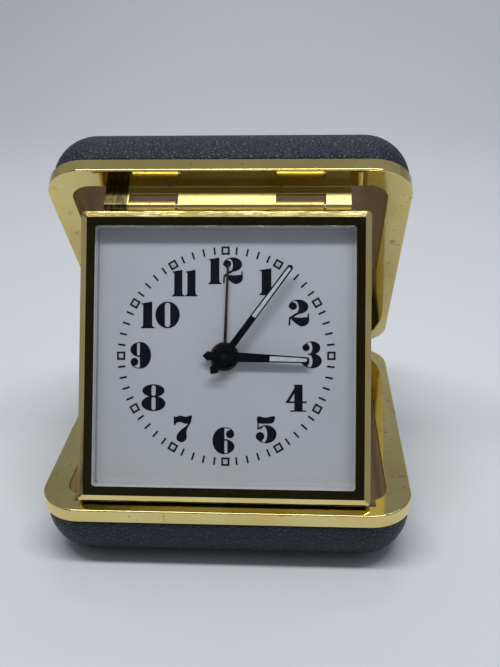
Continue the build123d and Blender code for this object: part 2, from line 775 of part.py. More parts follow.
with BuildPart() as minute_wheel:
    gear(
        MINUTE_WHEEL,
        36,
        cannon_module,
        meshed(minute_side, 36),
        minute_wheel_front,
        minute_wheel_front + wheel_sheet,
    )
    gear(
        MINUTE_WHEEL,
        10,
        hour_module,
        minute_side + 180,
        hour_wheel_front - 0.1,
        minute_wheel_front,
    )
    disc(
        MINUTE_WHEEL,
        0.5 + running,
        hour_wheel_front - 0.2,
        minute_wheel_front + wheel_sheet,
        Mode.SUBTRACT,
    )

with BuildPart() as hour_wheel:
    gear(
        CENTRE,
        40,
        hour_module,
        meshed(minute_side + 180, 40),
        hour_wheel_front,
        hour_wheel_front + wheel_sheet,
    )
    disc(CENTRE, hour_pipe, hour_hand_front, hour_wheel_front)
    disc(
        CENTRE,
        cannon_radius + running,
        hour_hand_front,
        hour_wheel_front + wheel_sheet,
        Mode.SUBTRACT,
    )

with BuildPart() as alarm_wheel:
    gear(
        CENTRE,
        50,
        barrel_module,
        meshed(alarm_side + 180, 50),
        alarm_wheel_front,
        alarm_wheel_front + wheel_sheet,
    )
    disc(CENTRE, alarm_pipe, alarm_hand_front, alarm_wheel_front)
    disc(
        CENTRE,
        hour_pipe + running,
        alarm_hand_front,
        alarm_wheel_front + wheel_sheet,
        Mode.SUBTRACT,
    )

with BuildPart() as alarm_set_arbor:
    disc(ALARM_SET, set_radius, alarm_wheel_front - 0.1, key_back - 1.0)
    gear(
        ALARM_SET,
        14,
        barrel_module,
        alarm_side + 180,
        alarm_wheel_front - 0.1,
        alarm_wheel_front + 0.4,
    )

time_set_knob = setting_knob(CENTRE, 3.4, centre_arbor_radius)
alarm_set_knob = setting_knob(ALARM_SET, 3.2, set_radius)


def hand_plane(front, angle):
    """Plane of a hand, with local y along the hand."""
    turn = radians(angle)
    across = CLOCK.x_dir * cos(turn) - CLOCK.y_dir * sin(turn)
    return Plane(origin=at(front).origin, x_dir=across, z_dir=CLOCK.z_dir)


def blade(start, end, root, tip, mode=Mode.ADD):
    """Tapered bar along a hand, square at its start and round at its end."""
    with BuildLine() as outline:
        Polyline((-root, start), (root, start), (tip, end - tip), (-tip, end - tip), close=True)
    make_face(outline.edges(), mode=mode)
    with Locations((0, end - tip)):
        Circle(tip, mode=mode)


def hand(front, angle, shape, filling, hub, bore):
    """Hand with a round tip, a spade tail, a hub and an open slot for the luminous filling."""
    tail = 4.25 * scale
    spade = 0.95
    neck = 0.5
    with BuildPart() as part:
        with BuildSketch(hand_plane(front, angle)):
            blade(*shape)
            with BuildLine():
                Polyline(
                    (neck, 0),
                    (neck, -0.35 * tail),
                    (spade, -0.76 * tail),
                    (0, -tail),
                    (-spade, -0.76 * tail),
                    (-neck, -0.35 * tail),
                    (-neck, 0),
                    close=True,
                )
            make_face()
            Circle(hub)
            Circle(bore, mode=Mode.SUBTRACT)
            blade(*filling, mode=Mode.SUBTRACT)
        extrude(amount=-hand_sheet)
    return part


def hand_filling(front, angle, filling):
    """Luminous filling of a hand's slot."""
    with BuildPart() as part:
        with BuildSketch(hand_plane(front + 0.05, angle)):
            blade(*filling)
        extrude(amount=-(hand_sheet - 0.05))
    return part


# Start, end, half width at the start and half width at the tip
minute_shape = (0, 21.8 * scale, 0.68, 0.58)
minute_filling = (9.5 * scale, 21.3 * scale, 0.39, 0.28)
hour_shape = (0, 16.4 * scale, 1.0, 0.58)
hour_filling = (8.8 * scale, 15.95 * scale, 0.5, 0.36)
minute_hub = 1.8
hour_hub = 2.2
minute_hand = hand(
    minute_hand_front, minute_angle, minute_shape, minute_filling, minute_hub, centre_arbor_radius
)
hour_hand = hand(hour_hand_front, hour_angle, hour_shape, hour_filling, hour_hub, hour_pipe)
minute_hand_filling = hand_filling(minute_hand_front, minute_angle, minute_filling)
hour_hand_filling = hand_filling(hour_hand_front, hour_angle, hour_filling)

with BuildPart() as alarm_hand:
    with BuildSketch(hand_plane(alarm_hand_front, alarm_angle)):
        with BuildLine():
            Polyline((0.3, 0), (0.2, 18.0 * scale), (-0.2, 18.0 * scale), (-0.3, 0), close=True)
        make_face()
        Circle(2.8)
        Circle(alarm_pipe, mode=Mode.SUBTRACT)
    extrude(amount=-hand_sheet)

save(base_cover, "base_cover")
save(base_pan, "base_pan")
save(base_rim_notched, "base_rim")
save(base_lining, "base_lining")
save(clock_rest, "clock_rest")
save(case_hinge_base_leaf, "case_hinge_base_leaf")
save(case_hinge_pin, "case_hinge_pin")
save(lid_cover, "lid_cover")
save(lid_pan, "lid_pan")
save(lid_rim, "lid_rim")
save(lid_lining, "lid_lining")
save(case_hinge_lid_leaf, "case_hinge_lid_leaf")
save(clock_hinge_strip, "clock_hinge_strip")
save(clock_hinge_rivets, "clock_hinge_rivets")
save(clock_hinge_pin, "clock_hinge_pin")
save(clock_hinge_tongues, "clock_hinge_tongues")
save(bezel, "bezel")
save(crystal, "crystal")
save(dial_spacer, "dial_spacer")
save(dial, "dial")
save(back_cover, "back_cover")
save(back_cover_screws, "back_cover_screws")
save(front_plate, "front_plate")
save(rear_plate, "rear_plate")
save(plate_pillars, "plate_pillars")
save(time_barrel, "time_barrel")
save(alarm_barrel, "alarm_barrel")
save(time_mainspring, "time_mainspring")
save(alarm_mainspring, "alarm_mainspring")
save(time_arbor, "time_arbor")
save(alarm_arbor, "alarm_arbor")
save(time_key, "time_key")
save(alarm_key, "alarm_key")
save(winding_clicks, "winding_clicks")
save(centre_wheel, "centre_wheel")
save(third_wheel, "third_wheel")
save(fourth_wheel, "fourth_wheel")
save(escape_wheel, "escape_wheel")
save(pallet_lever, "pallet_lever")
save(balance_wheel, "balance_wheel")
save(hairspring, "hairspring")
save(regulator_lever, "regulator_lever")
save(strike_wheel, "strike_wheel")
save(alarm_hammer, "alarm_hammer")
save(alarm_stop_button, "alarm_stop_button")
save(centre_arbor, "centre_arbor")
save(minute_wheel, "minute_wheel")
save(hour_wheel, "hour_wheel")
save(alarm_wheel, "alarm_wheel")
save(alarm_set_arbor, "alarm_set_arbor")
save(time_set_knob, "time_set_knob")
save(alarm_set_knob, "alarm_set_knob")
save(minute_hand, "minute_hand")
save(hour_hand, "hour_hand")
save(minute_hand_filling, "minute_hand_filling")
save(hour_hand_filling, "hour_hand_filling")
save(alarm_hand, "alarm_hand")
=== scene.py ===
"""Looks of a folding travel alarm clock: leatherette case, gilt metal, printed dial, stage and camera."""
import math

import bmesh
import bpy
from bpy.props import FloatProperty, FloatVectorProperty, IntProperty, PointerProperty
from mathutils import Matrix, Vector, noise
from mathutils.geometry import delaunay_2d_cdt


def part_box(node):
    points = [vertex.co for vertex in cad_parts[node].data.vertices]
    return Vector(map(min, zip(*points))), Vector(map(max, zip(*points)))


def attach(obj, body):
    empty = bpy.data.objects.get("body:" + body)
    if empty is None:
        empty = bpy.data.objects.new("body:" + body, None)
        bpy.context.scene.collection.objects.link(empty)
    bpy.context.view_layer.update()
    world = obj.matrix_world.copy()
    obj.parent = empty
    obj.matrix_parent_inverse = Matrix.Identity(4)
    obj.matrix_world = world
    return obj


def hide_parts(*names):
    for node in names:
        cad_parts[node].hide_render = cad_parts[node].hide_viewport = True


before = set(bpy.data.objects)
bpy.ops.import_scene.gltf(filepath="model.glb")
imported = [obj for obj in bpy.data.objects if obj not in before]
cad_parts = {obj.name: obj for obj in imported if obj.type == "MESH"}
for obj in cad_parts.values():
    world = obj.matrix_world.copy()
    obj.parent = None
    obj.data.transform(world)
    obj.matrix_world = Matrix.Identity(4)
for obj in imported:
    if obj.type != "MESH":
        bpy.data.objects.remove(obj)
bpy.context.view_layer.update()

bl_info = {
    "name": "Folding travel alarm clock",
    "version": (1, 0, 0),
    "blender": (4, 5, 0),
    "location": "View3D > Sidebar > Travel Clock",
    "description": "Dresses the folding travel alarm clock and sets its stage",
    "category": "Object",
}

MM = 0.001
PHOTO_SIZE = (500, 667)

# Sides that the main flat faces look towards
UP = Vector((0, 0, 1))
LID_INSIDE = Vector((0, -1, -1))
DIAL_FRONT = Vector((0, -1, 0.5))

# Least cosine between a face's normal and the way that it looks, roughly or squarely
ROUGHLY = 0.7
SQUARELY = 0.999


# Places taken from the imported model
def face_plane(name, towards):
    """Frame of a node's largest flat face that looks towards a direction: z out of the face, x along +X."""
    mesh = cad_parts[name].data
    areas = {}
    for face in mesh.polygons:
        if face.normal.dot(towards.normalized()) > ROUGHLY:
            key = tuple(round(c, 3) for c in face.normal)
            areas[key] = areas.get(key, 0) + face.area
    out = Vector(max(areas, key=areas.get)).normalized()
    across = Vector((1, 0, 0))
    up = out.cross(across).normalized()
    corners = [v.co for v in mesh.vertices]
    middle = [
        (max(c.dot(axis) for c in corners) + min(c.dot(axis) for c in corners)) / 2
        for axis in (across, up)
    ]
    flat = [f for f in mesh.polygons if f.normal.dot(out) > SQUARELY]
    level = max(f.center.dot(out) for f in flat)
    place = across * middle[0] + up * middle[1] + out * level
    turn = Matrix((across, up, out)).transposed().to_4x4()
    return Matrix.Translation(place) @ turn


def node_size(name):
    """Edge lengths of a node's box at rest."""
    low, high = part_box(name)
    return high - low


BASE_PLANE = face_plane("base_rim", UP)
LID_PLANE = face_plane("lid_rim", LID_INSIDE)
DIAL_PLANE = face_plane("dial", DIAL_FRONT)
SHELLS = {"base": BASE_PLANE, "lid": LID_PLANE}

# Trays of a shell, with their levels counted from the top of its rim
SHELL_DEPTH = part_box("base_rim")[1].z
COVER_SIZE = node_size("base_cover")
COVER_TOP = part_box("base_cover")[1].z - SHELL_DEPTH
COVER_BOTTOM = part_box("base_cover")[0].z - SHELL_DEPTH
LINING_SIZE = node_size("base_lining")
LINING_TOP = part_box("base_lining")[1].z - SHELL_DEPTH
LINING_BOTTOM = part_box("base_lining")[0].z - SHELL_DEPTH


# Settings that a user would change
def length(name, description, default):
    """A size in metres."""
    return FloatProperty(
        name=name, description=description, default=default, min=0, precision=5, unit="LENGTH"
    )


def angle(name, description, degrees):
    """An angle, given in degrees."""
    return FloatProperty(
        name=name, description=description, default=math.radians(degrees), precision=5, unit="ROTATION"
    )


def colour(name, description, default):
    """A linear colour."""
    return FloatVectorProperty(
        name=name, description=description, default=default, min=0, max=1, size=3, subtype="COLOR"
    )


def power(name, description, watts):
    """A light's power in watts."""
    return FloatProperty(name=name, description=description, default=watts, min=0, unit="POWER")


def number(name, description, default):
    """A number without a unit."""
    return FloatProperty(name=name, description=description, default=default, min=0, precision=4)


class CaseSettings(bpy.types.PropertyGroup):
    """Sizes and colours of the case."""

    cover_corner: length("Cover corner", "Corner radius of the leatherette covers", 9.6 * MM)
    cover_edge: length("Cover edge", "Rounding between a cover's wall and its floor", 9.0 * MM)
    leather_sheet: length("Leather sheet", "Thickness of the leatherette", 0.8 * MM)
    grain_size: length("Grain size", "Width of one pebble of the grain", 0.9 * MM)
    lining_corner: length("Lining corner", "Corner radius of the lining trays", 4.6 * MM)
    lining_edge: length("Lining edge", "Rounding between a lining's wall and floor", 3.8 * MM)
    lining_sheet: length("Lining sheet", "Thickness of the lining", 0.6 * MM)
    leather: colour("Leatherette", "Top of the grain", (0.017, 0.026, 0.045))
    # The crease colour is painted shade: it darkens the creases between the pebbles
    leather_crease_shade: colour("Leatherette crease shade", "Between the pebbles", (0.008, 0.012, 0.021))
    # The lining colours are lighter than the lining's own taupe: painted light that brightens the shaded
    # inside of the lid
    lining: colour("Lining", "Pile of the lining", (0.72, 0.57, 0.41))
    lining_shade: colour("Lining shade", "Between the pile", (0.62, 0.48, 0.34))
    gilt: colour("Gilt", "Bright gilt metal", (0.83, 0.70, 0.30))
    gilt_deep: colour("Deep gilt", "Slightly tarnished gilt", (0.74, 0.58, 0.20))
    tarnish: colour("Tarnish", "Dark spots on the gilt", (0.15, 0.095, 0.035))
    # The dark end colour is a painted dark reflection on the hinge strip's left end: it stands in for the
    # real strip's bent end, and the solid there is straight
    dark_end_reflection: colour("Dark end reflection", "Painted dark reflection on the hinge strip's left end", (0.065, 0.052, 0.024))
    stain_start: length("Stain start", "Distance from the middle where corner stains begin", 31 * MM)
    stain_end: length("Stain end", "Distance from the middle where corner stains are strongest", 37 * MM)
    dark_end_from: length("Dark end start", "How far left of the middle the strip's dark end starts", 19.3 * MM)
    dark_end_fade: length("Dark end fade", "How softly the strip's dark end starts", 0.3 * MM)


class DialSettings(bpy.types.PropertyGroup):
    """Sizes and colours of the dial printing."""

    ring_radius: length("Ring radius", "Middle of the minute ring", 20.8 * MM)
    tick_length: length("Tick length", "Length of a minute mark", 1.5 * MM)
    tick_width: length("Tick width", "Width of a minute mark", 0.36 * MM)
    square_size: length("Hour square", "Outer edge of an hour square", 1.65 * MM)
    pad_size: length("Luminous pad", "Edge of the luminous pad in a square", 0.9 * MM)
    number_height: length("Number height", "Height of the hour numbers", 5.3 * MM)
    ink_thickness: length("Ink thickness", "How far the printing stands up", 0.02 * MM)
    print_shift: length("Print shift", "How far the printing sits to the right of the middle", 0.14 * MM)
    print_lift: length("Print lift", "How far the printing sits above the middle", 0.16 * MM)
    print_scale: number("Print scale", "Size of the whole printing", 0.9855)
    print_turn: angle("Print turn", "Turn of the printing against the bezel", 0.55)
    minutes: IntProperty(name="Minutes", description="Marks in the minute ring", default=60, min=12)
    hours: IntProperty(name="Hours", description="Squares in the minute ring", default=12, min=4)
    enamel: colour("Enamel", "Dial ground", (0.57, 0.60, 0.66))
    enamel_shade: colour("Enamel shade", "Slightly aged dial ground", (0.53, 0.56, 0.61))
    ink: colour("Ink", "Numbers, marks and hands", (0.003, 0.004, 0.007))
    luminous: colour("Luminous paint", "Fillings of the hands", (0.69, 0.75, 0.74))
    pad_paint: colour("Pad paint", "Luminous pads in the hour squares", (0.52, 0.555, 0.53))


class StageSettings(bpy.types.PropertyGroup):
    """Floor, lights and camera."""

    paper: colour("Paper", "Floor and backdrop", (0.78, 0.805, 0.84))
    room: colour("Room", "Pale room round the stage", (0.8, 0.82, 0.88))
    room_level: number("Room light", "Strength of the pale room", 0.34)
    strip_length: length("Strip length", "Length of a light strip", 0.4)
    strip_width: length("Strip width", "Width of a light strip", 0.05)
    key_power: power("Key light", "Power of the front strip", 0.92)
    back_power: power("Back light", "Power of the back strip", 0.5)
    key_distance: length("Key distance", "From the clock to the front strip", 0.36)
    key_rise: angle("Key rise", "How high the front strip stands", 77.4)
    camera_place: FloatVectorProperty(
        name="Camera place",
        description="Where the camera stands",
        default=(14.0913 * MM, -162.8078 * MM, 110.4993 * MM),
        size=3,
        unit="LENGTH",
        subtype="TRANSLATION",
    )
    camera_pitch: angle("Camera pitch", "How far the camera looks down", 25.05721)
    camera_yaw: angle("Camera yaw", "Turn of the camera towards +X", -3.69936)
    camera_roll: angle("Camera roll", "Turn about the line of sight", 1.08683)
    focal_pixels: number("Focal length", "Focal length in pixels", 830.669)


def case():
    """Settings of the case."""
    return bpy.context.scene.travel_clock_case


def dial():
    """Settings of the dial."""
    return bpy.context.scene.travel_clock_dial


def stage():
    """Settings of the stage."""
    return bpy.context.scene.travel_clock_stage


# Shader helpers
def node(tree, kind, sockets=None, **settings):
    """Adds a node with its settings, and sets or links its input sockets."""
    made = tree.nodes.new(kind)
    for key, value in settings.items():
        setattr(made, key, value)
    for key, value in (sockets or {}).items():
        if isinstance(value, bpy.types.NodeSocket):
            tree.links.new(value, made.inputs[key])
        else:
            made.inputs[key].default_value = value
    return made


def new_material(name):
    """An empty node material with its tree and its main shader."""
    made = bpy.data.materials.new(name)
    made.use_nodes = True
    return made, made.node_tree, made.node_tree.nodes["Principled BSDF"]


def object_coordinates(tree, stretch=(1, 1, 1)):
    """Object coordinates in metres, stretched along each axis."""
    coordinates = node(tree, "ShaderNodeTexCoord").outputs["Object"]
    return node(tree, "ShaderNodeMapping", {"Vector": coordinates, "Scale": stretch}).outputs["Vector"]


def cloud(tree, place, size, detail=3.0, roughness=0.5):
    """Soft noise with features of a given size in metres."""
    sockets = {"Vector": place, "Scale": 1 / size, "Detail": detail, "Roughness": roughness}
    return node(tree, "ShaderNodeTexNoise", sockets).outputs["Fac"]


def ramp(tree, factor, low, high, first=(0, 0, 0), last=(1, 1, 1)):
    """Colour that runs from first to last while the factor runs from low to high."""
    made = node(tree, "ShaderNodeValToRGB", {"Fac": factor})
    stops = made.color_ramp.elements
    stops[0].position = low
    stops[0].color = (*first, 1)
    stops[1].position = high
    stops[1].color = (*last, 1)
    return made.outputs["Color"]


def over(tree, mask, below, above):
    """Colour above where the mask is white and below where it is black."""
    made = node(tree, "ShaderNodeMix", data_type="RGBA")
    tree.links.new(mask, made.inputs[0])
    for index, value in ((6, below), (7, above)):
        if isinstance(value, bpy.types.NodeSocket):
            tree.links.new(value, made.inputs[index])
        else:
            made.inputs[index].default_value = (*value, 1)
    return made.outputs[2]


def between(tree, factor, low, high):
    """A number that runs from low to high with the factor."""
    sockets = {"Value": factor, "To Min": low, "To Max": high}
    return node(tree, "ShaderNodeMapRange", sockets).outputs["Result"]


def times(tree, first, second):
    """Two masks multiplied."""
    return node(tree, "ShaderNodeMath", {0: first, 1: second}, operation="MULTIPLY").outputs[0]


def shade(tint, factor):
    """A colour made lighter or darker."""
    return tuple(factor * c for c in tint)


def bump(tree, shader, height, depth, strength=1.0, under=None):
    """Raises the surface by a height pattern, in metres."""
    made = node(tree, "ShaderNodeBump", {"Height": height, "Distance": depth, "Strength": strength})
    if under:
        tree.links.new(under.outputs["Normal"], made.inputs["Normal"])
    tree.links.new(made.outputs["Normal"], shader.inputs["Normal"])
    return made


# Finishes
WIPING_STRETCH = (0.15, 1, 1)
WIPING_DEPTH = 0.004 * MM
BRUSHING_DEPTH = 0.02 * MM

# Refraction a little below acrylic's, so that the crystal's inner edge shows softly
CRYSTAL_IOR = 1.38


def leatherette():
    """Dark grained leatherette: rounded pebbles with creases between them, the creases darkened with painted
    shade.
    """
    made, tree, shader = new_material("leatherette_grain")
    size = case().grain_size
    place = object_coordinates(tree)
    drift = node(tree, "ShaderNodeTexNoise", {"Vector": place, "Scale": 0.5 / size, "Detail": 2.0})
    warp = {0: drift.outputs["Color"], 1: (size, size, size), 2: place}
    warped = node(tree, "ShaderNodeVectorMath", warp, operation="MULTIPLY_ADD").outputs["Vector"]
    cells = node(
        tree, "ShaderNodeTexVoronoi", {"Vector": warped, "Scale": 1 / size}, feature="DISTANCE_TO_EDGE"
    ).outputs["Distance"]
    pebble = node(
        tree, "ShaderNodeMapRange", {"Value": cells, "From Max": 0.32}, interpolation_type="SMOOTHSTEP"
    ).outputs["Result"]
    patches = cloud(tree, place, size=9 * MM)
    top = over(tree, patches, below=shade(case().leather, 0.8), above=shade(case().leather, 1.2))
    # Painted shade: the creases between the pebbles get the darker crease colour
    tint = over(tree, pebble, below=case().leather_crease_shade, above=top)
    tree.links.new(tint, shader.inputs["Base Color"])
    tree.links.new(between(tree, pebble, low=0.6, high=0.4), shader.inputs["Roughness"])
    pores = cloud(tree, place, size=size / 4, detail=4.0)
    dimpled = bump(tree, shader, pores, depth=0.03 * MM, strength=0.6)
    bump(tree, shader, pebble, depth=0.2 * MM, under=dimpled)
    shader.inputs["Specular IOR Level"].default_value = 0.42
    return made


def corner_stain(tree, place):
    """Mask of brown staining that gathers towards the left and right corners."""
    across = node(tree, "ShaderNodeSeparateXYZ", {"Vector": place}).outputs["X"]
    reach = node(tree, "ShaderNodeMath", {0: across}, operation="ABSOLUTE").outputs[0]
    near = {"Value": reach, "From Min": case().stain_start, "From Max": case().stain_end}
    share = node(tree, "ShaderNodeMapRange", near).outputs["Result"]
    patches = cloud(tree, place, size=2.2 * MM, detail=5.0, roughness=0.65)
    return times(tree, share, ramp(tree, patches, low=0.6, high=0.68))


def dark_end_mask(tree, place):
    """Mask of the hinge strip's left end, streaked in strength, for a painted dark reflection that stands in
    for the real strip's bent end.
    """
    across = node(tree, "ShaderNodeSeparateXYZ", {"Vector": place}).outputs["X"]
    start = -case().dark_end_from
    edge = {"Value": across, "From Min": start, "From Max": start - case().dark_end_fade}
    share = node(tree, "ShaderNodeMapRange", edge).outputs["Result"]
    streaks = cloud(tree, object_coordinates(tree, stretch=(1, 0.4, 0.4)), size=0.6 * MM, detail=4.0)
    dark_share = between(tree, ramp(tree, streaks, low=0.3, high=0.6), low=0.82, high=1.0)
    return times(tree, share, dark_share)


def gilt(name, roughness, spots, grain=None, dark_patch=None):
    """Gilt metal with cloudy tarnish, dark specks and fine wiping marks, brushed where a grain is given.

    Roughness runs between two values, a higher level of spots shows fewer of them, and a dark patch is a
    mask with its colour: real staining on the rims, painted dark reflection on the hinge strip's left end.
    """
    made, tree, shader = new_material(name)
    place = object_coordinates(tree)
    clouds = ramp(tree, cloud(tree, place, size=12 * MM, detail=5.0), low=0.4, high=0.72)
    tint = over(tree, clouds, below=case().gilt, above=case().gilt_deep)
    specks = cloud(tree, place, size=1.3 * MM, detail=4.0, roughness=0.6)
    tint = over(tree, ramp(tree, specks, low=spots, high=spots + 0.06), below=tint, above=case().tarnish)
    # Dark patch: real staining on the rims, painted dark reflection on the hinge strip's end
    if dark_patch:
        mask, dark = dark_patch
        tint = over(tree, mask(tree, place), below=tint, above=dark)
    tree.links.new(tint, shader.inputs["Base Color"])
    lines = cloud(tree, object_coordinates(tree, grain or WIPING_STRETCH), size=0.25 * MM, detail=4.0)
    tree.links.new(between(tree, lines, *roughness), shader.inputs["Roughness"])
    waves = cloud(tree, place, size=7 * MM, detail=1.0)
    sheet = bump(tree, shader, waves, depth=0.06 * MM, strength=0.5)
    bump(tree, shader, lines, depth=BRUSHING_DEPTH if grain else WIPING_DEPTH, strength=0.5, under=sheet)
    shader.inputs["Metallic"].default_value = 1.0
    return made


def metal(name, bright, dull):
    """Plain worked metal with brushing and slight staining."""
    made, tree, shader = new_material(name)
    clouds = cloud(tree, object_coordinates(tree), size=5 * MM, detail=5.0)
    tint = over(tree, ramp(tree, clouds, low=0.35, high=0.75), below=bright, above=dull)
    tree.links.new(tint, shader.inputs["Base Color"])
    lines = cloud(tree, object_coordinates(tree, stretch=(0.1, 1, 1)), size=0.3 * MM)
    tree.links.new(between(tree, lines, low=0.22, high=0.4), shader.inputs["Roughness"])
    bump(tree, shader, lines, depth=0.008 * MM, strength=0.6)
    shader.inputs["Metallic"].default_value = 1.0
    return made


def paint(name, fresh, aged, patch, roughness, grain, depth, coat=0.0, gloss=0.5):
    """A painted, printed or enamelled surface with slight cloudiness and grain."""
    made, tree, shader = new_material(name)
    place = object_coordinates(tree)
    patches = ramp(tree, cloud(tree, place, size=patch, detail=4.0), low=0.3, high=0.7)
    tint = over(tree, patches, below=fresh, above=aged)
    tree.links.new(tint, shader.inputs["Base Color"])
    fine = cloud(tree, place, size=grain)
    tree.links.new(between(tree, fine, *roughness), shader.inputs["Roughness"])
    bump(tree, shader, fine, depth, strength=0.6)
    shader.inputs["Coat Weight"].default_value = coat
    shader.inputs["Specular IOR Level"].default_value = gloss
    return made


def flock():
    """Short pile of the lining: fine fibres with rubbed patches."""
    made, tree, shader = new_material("lining_flock")
    place = object_coordinates(tree)
    pile = cloud(tree, place, size=0.22 * MM, detail=5.0, roughness=0.7)
    rubbed = ramp(tree, cloud(tree, place, size=11 * MM, detail=4.0), low=0.35, high=0.7)
    # The lining colours carry painted light: they are lighter than the real taupe
    fibres = ramp(tree, pile, low=0.35, high=0.65, first=case().lining_shade, last=case().lining)
    tint = over(tree, rubbed, below=fibres, above=shade(case().lining, 0.8))
    tree.links.new(tint, shader.inputs["Base Color"])
    bump(tree, shader, pile, depth=0.15 * MM, strength=0.8)
    shader.inputs["Roughness"].default_value = 0.9
    shader.inputs["Sheen Weight"].default_value = 0.35
    shader.inputs["Sheen Roughness"].default_value = 0.5
    return made


def clear_crystal():
    """Clear acrylic with faint wiping marks, which lets the light through to the dial."""
    made, tree, shader = new_material("crystal_clear")
    marks = cloud(tree, object_coordinates(tree, stretch=(0.3, 1, 1)), size=0.6 * MM, detail=4.0)
    tree.links.new(between(tree, marks, low=0.0, high=0.035), shader.inputs["Roughness"])
    shader.inputs["Base Color"].default_value = (0.97, 0.98, 0.99, 1)
    shader.inputs["Transmission Weight"].default_value = 1.0
    shader.inputs["IOR"].default_value = CRYSTAL_IOR
    rays = node(tree, "ShaderNodeLightPath").outputs
    kinds = {0: rays["Is Shadow Ray"], 1: rays["Is Diffuse Ray"]}
    soft = node(tree, "ShaderNodeMath", kinds, operation="MAXIMUM")
    through = node(tree, "ShaderNodeBsdfTransparent")
    mixed = node(tree, "ShaderNodeMixShader", {0: soft.outputs[0]})
    tree.links.new(shader.outputs["BSDF"], mixed.inputs[1])
    tree.links.new(through.outputs["BSDF"], mixed.inputs[2])
    tree.links.new(mixed.outputs["Shader"], tree.nodes["Material Output"].inputs["Surface"])
    return made


def dress(names, finish):
    """Gives CAD nodes a finish."""
    for name in names:
        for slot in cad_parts[name].material_slots:
            slot.material = finish


# Mesh helpers
def new_piece(name, mesh, finish, body):
    """Puts a finished mesh in the scene as a piece that rides on a body."""
    piece = bpy.data.objects.new(name, mesh)
    bpy.context.scene.collection.objects.link(piece)
    mesh.materials.clear()
    mesh.materials.append(finish)
    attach(piece, body)
    return piece


def rounded_outline(width, height, radius, per_corner=14, per_side=24):
    """Points round a rounded rectangle, always as many, anticlockwise from its right side."""
    corners = ((1, 1, 0), (-1, 1, 90), (-1, -1, 180), (1, -1, 270))
    arcs = []
    for side, top, start in corners:
        middle = Vector((side * (width / 2 - radius), top * (height / 2 - radius)))
        turns = [math.radians(start + 90 * i / per_corner) for i in range(per_corner + 1)]
        arcs.append([middle + radius * Vector((math.cos(t), math.sin(t))) for t in turns])
    points = []
    for arc, following in zip(arcs, arcs[1:] + arcs[:1]):
        points += arc
        points += [arc[-1].lerp(following[0], i / per_side) for i in range(1, per_side)]
    return points


def bowl_rings(width, height, corner, top, bottom, edge, arc_steps=12, floor_steps=5):
    """Rings of a tray from its mouth down its wall, round its edge and in over its floor."""
    rings = [(0.0, top), (0.0, (top + bottom + edge) / 2)]
    for i in range(arc_steps + 1):
        turn = math.radians(90 * i / arc_steps)
        rings.append((edge * (1 - math.cos(turn)), bottom + edge * (1 - math.sin(turn))))
    least_radius = 0.2 * corner
    made = []
    for inset, level in rings:
        radius = max(corner - inset, least_radius)
        outline = rounded_outline(width - 2 * inset, height - 2 * inset, radius)
        made.append([Vector((p.x, p.y, level)) for p in outline])
    last = made[-1]
    for i in range(1, floor_steps):
        share = 1 - i / floor_steps
        made.append([Vector((p.x * share, p.y * share, p.z)) for p in last])
    return made


def skin(name, rings, place, wave, wave_size):
    """A closed smooth skin through rings of points, capped at both ends, with a slight waviness."""
    work = bmesh.new()
    rows = []
    for ring in rings:
        row = []
        for point in ring:
            lift = wave * noise.noise(point / wave_size)
            row.append(work.verts.new(point + Vector((0, 0, lift))))
        rows.append(row)
    for first, second in zip(rows, rows[1:]):
        for i in range(len(first)):
            j = (i + 1) % len(first)
            work.faces.new((first[i], first[j], second[j], second[i]))
    work.faces.new(rows[0])
    work.faces.new(rows[-1])
    bmesh.ops.recalc_face_normals(work, faces=work.faces)
    for face in work.faces:
        face.smooth = True
    mesh = bpy.data.meshes.new(name)
    work.to_mesh(mesh)
    work.free()
    mesh.transform(place)
    return mesh


def tray(name, place, size, corner, edge, top, bottom, sheet, wave=0.0, wave_size=1.0):
    """A tray of even thickness: its inside, over its mouth and down its outside."""
    outer = bowl_rings(size.x, size.y, corner, top, bottom, edge)
    inner = bowl_rings(
        size.x - 2 * sheet, size.y - 2 * sheet, corner - sheet, top, bottom + sheet, edge - sheet
    )
    return skin(name, inner[::-1] + outer, place, wave, wave_size)


# Flat printed shapes
def ellipse(x, y, half_width, half_height, steps=44):
    """An ellipse about a point."""
    turns = [2 * math.pi * i / steps for i in range(steps)]
    return [(x + half_width * math.cos(t), y + half_height * math.sin(t)) for t in turns]


def bar(left, bottom, right, top):
    """An upright rectangle."""
    return [(left, bottom), (right, bottom), (right, top), (left, top)]


def slot_shape(x, y, half_width, half_height, steps=10):
    """An upright bar with round ends."""
    reach = half_height - half_width
    turns = [math.pi * i / steps for i in range(steps + 1)]
    top = [(x + half_width * math.cos(t), y + reach + half_width * math.sin(t)) for t in turns]
    return top + [(2 * x - a, 2 * y - b) for a, b in top]


def smooth_loop(*points, steps=6):
    """A closed smooth curve through points."""
    count = len(points)
    loop = []
    for i in range(count):
        a, b, c, d = (Vector(points[(i + k - 1) % count]) for k in range(4))
        for s in range(steps):
            t = s / steps
            p = 2 * b + (c - a) * t + (2 * a - 5 * b + 4 * c - d) * t * t
            p += (3 * b - a - 3 * c + d) * t * t * t
            loop.append((p.x / 2, p.y / 2))
    return loop


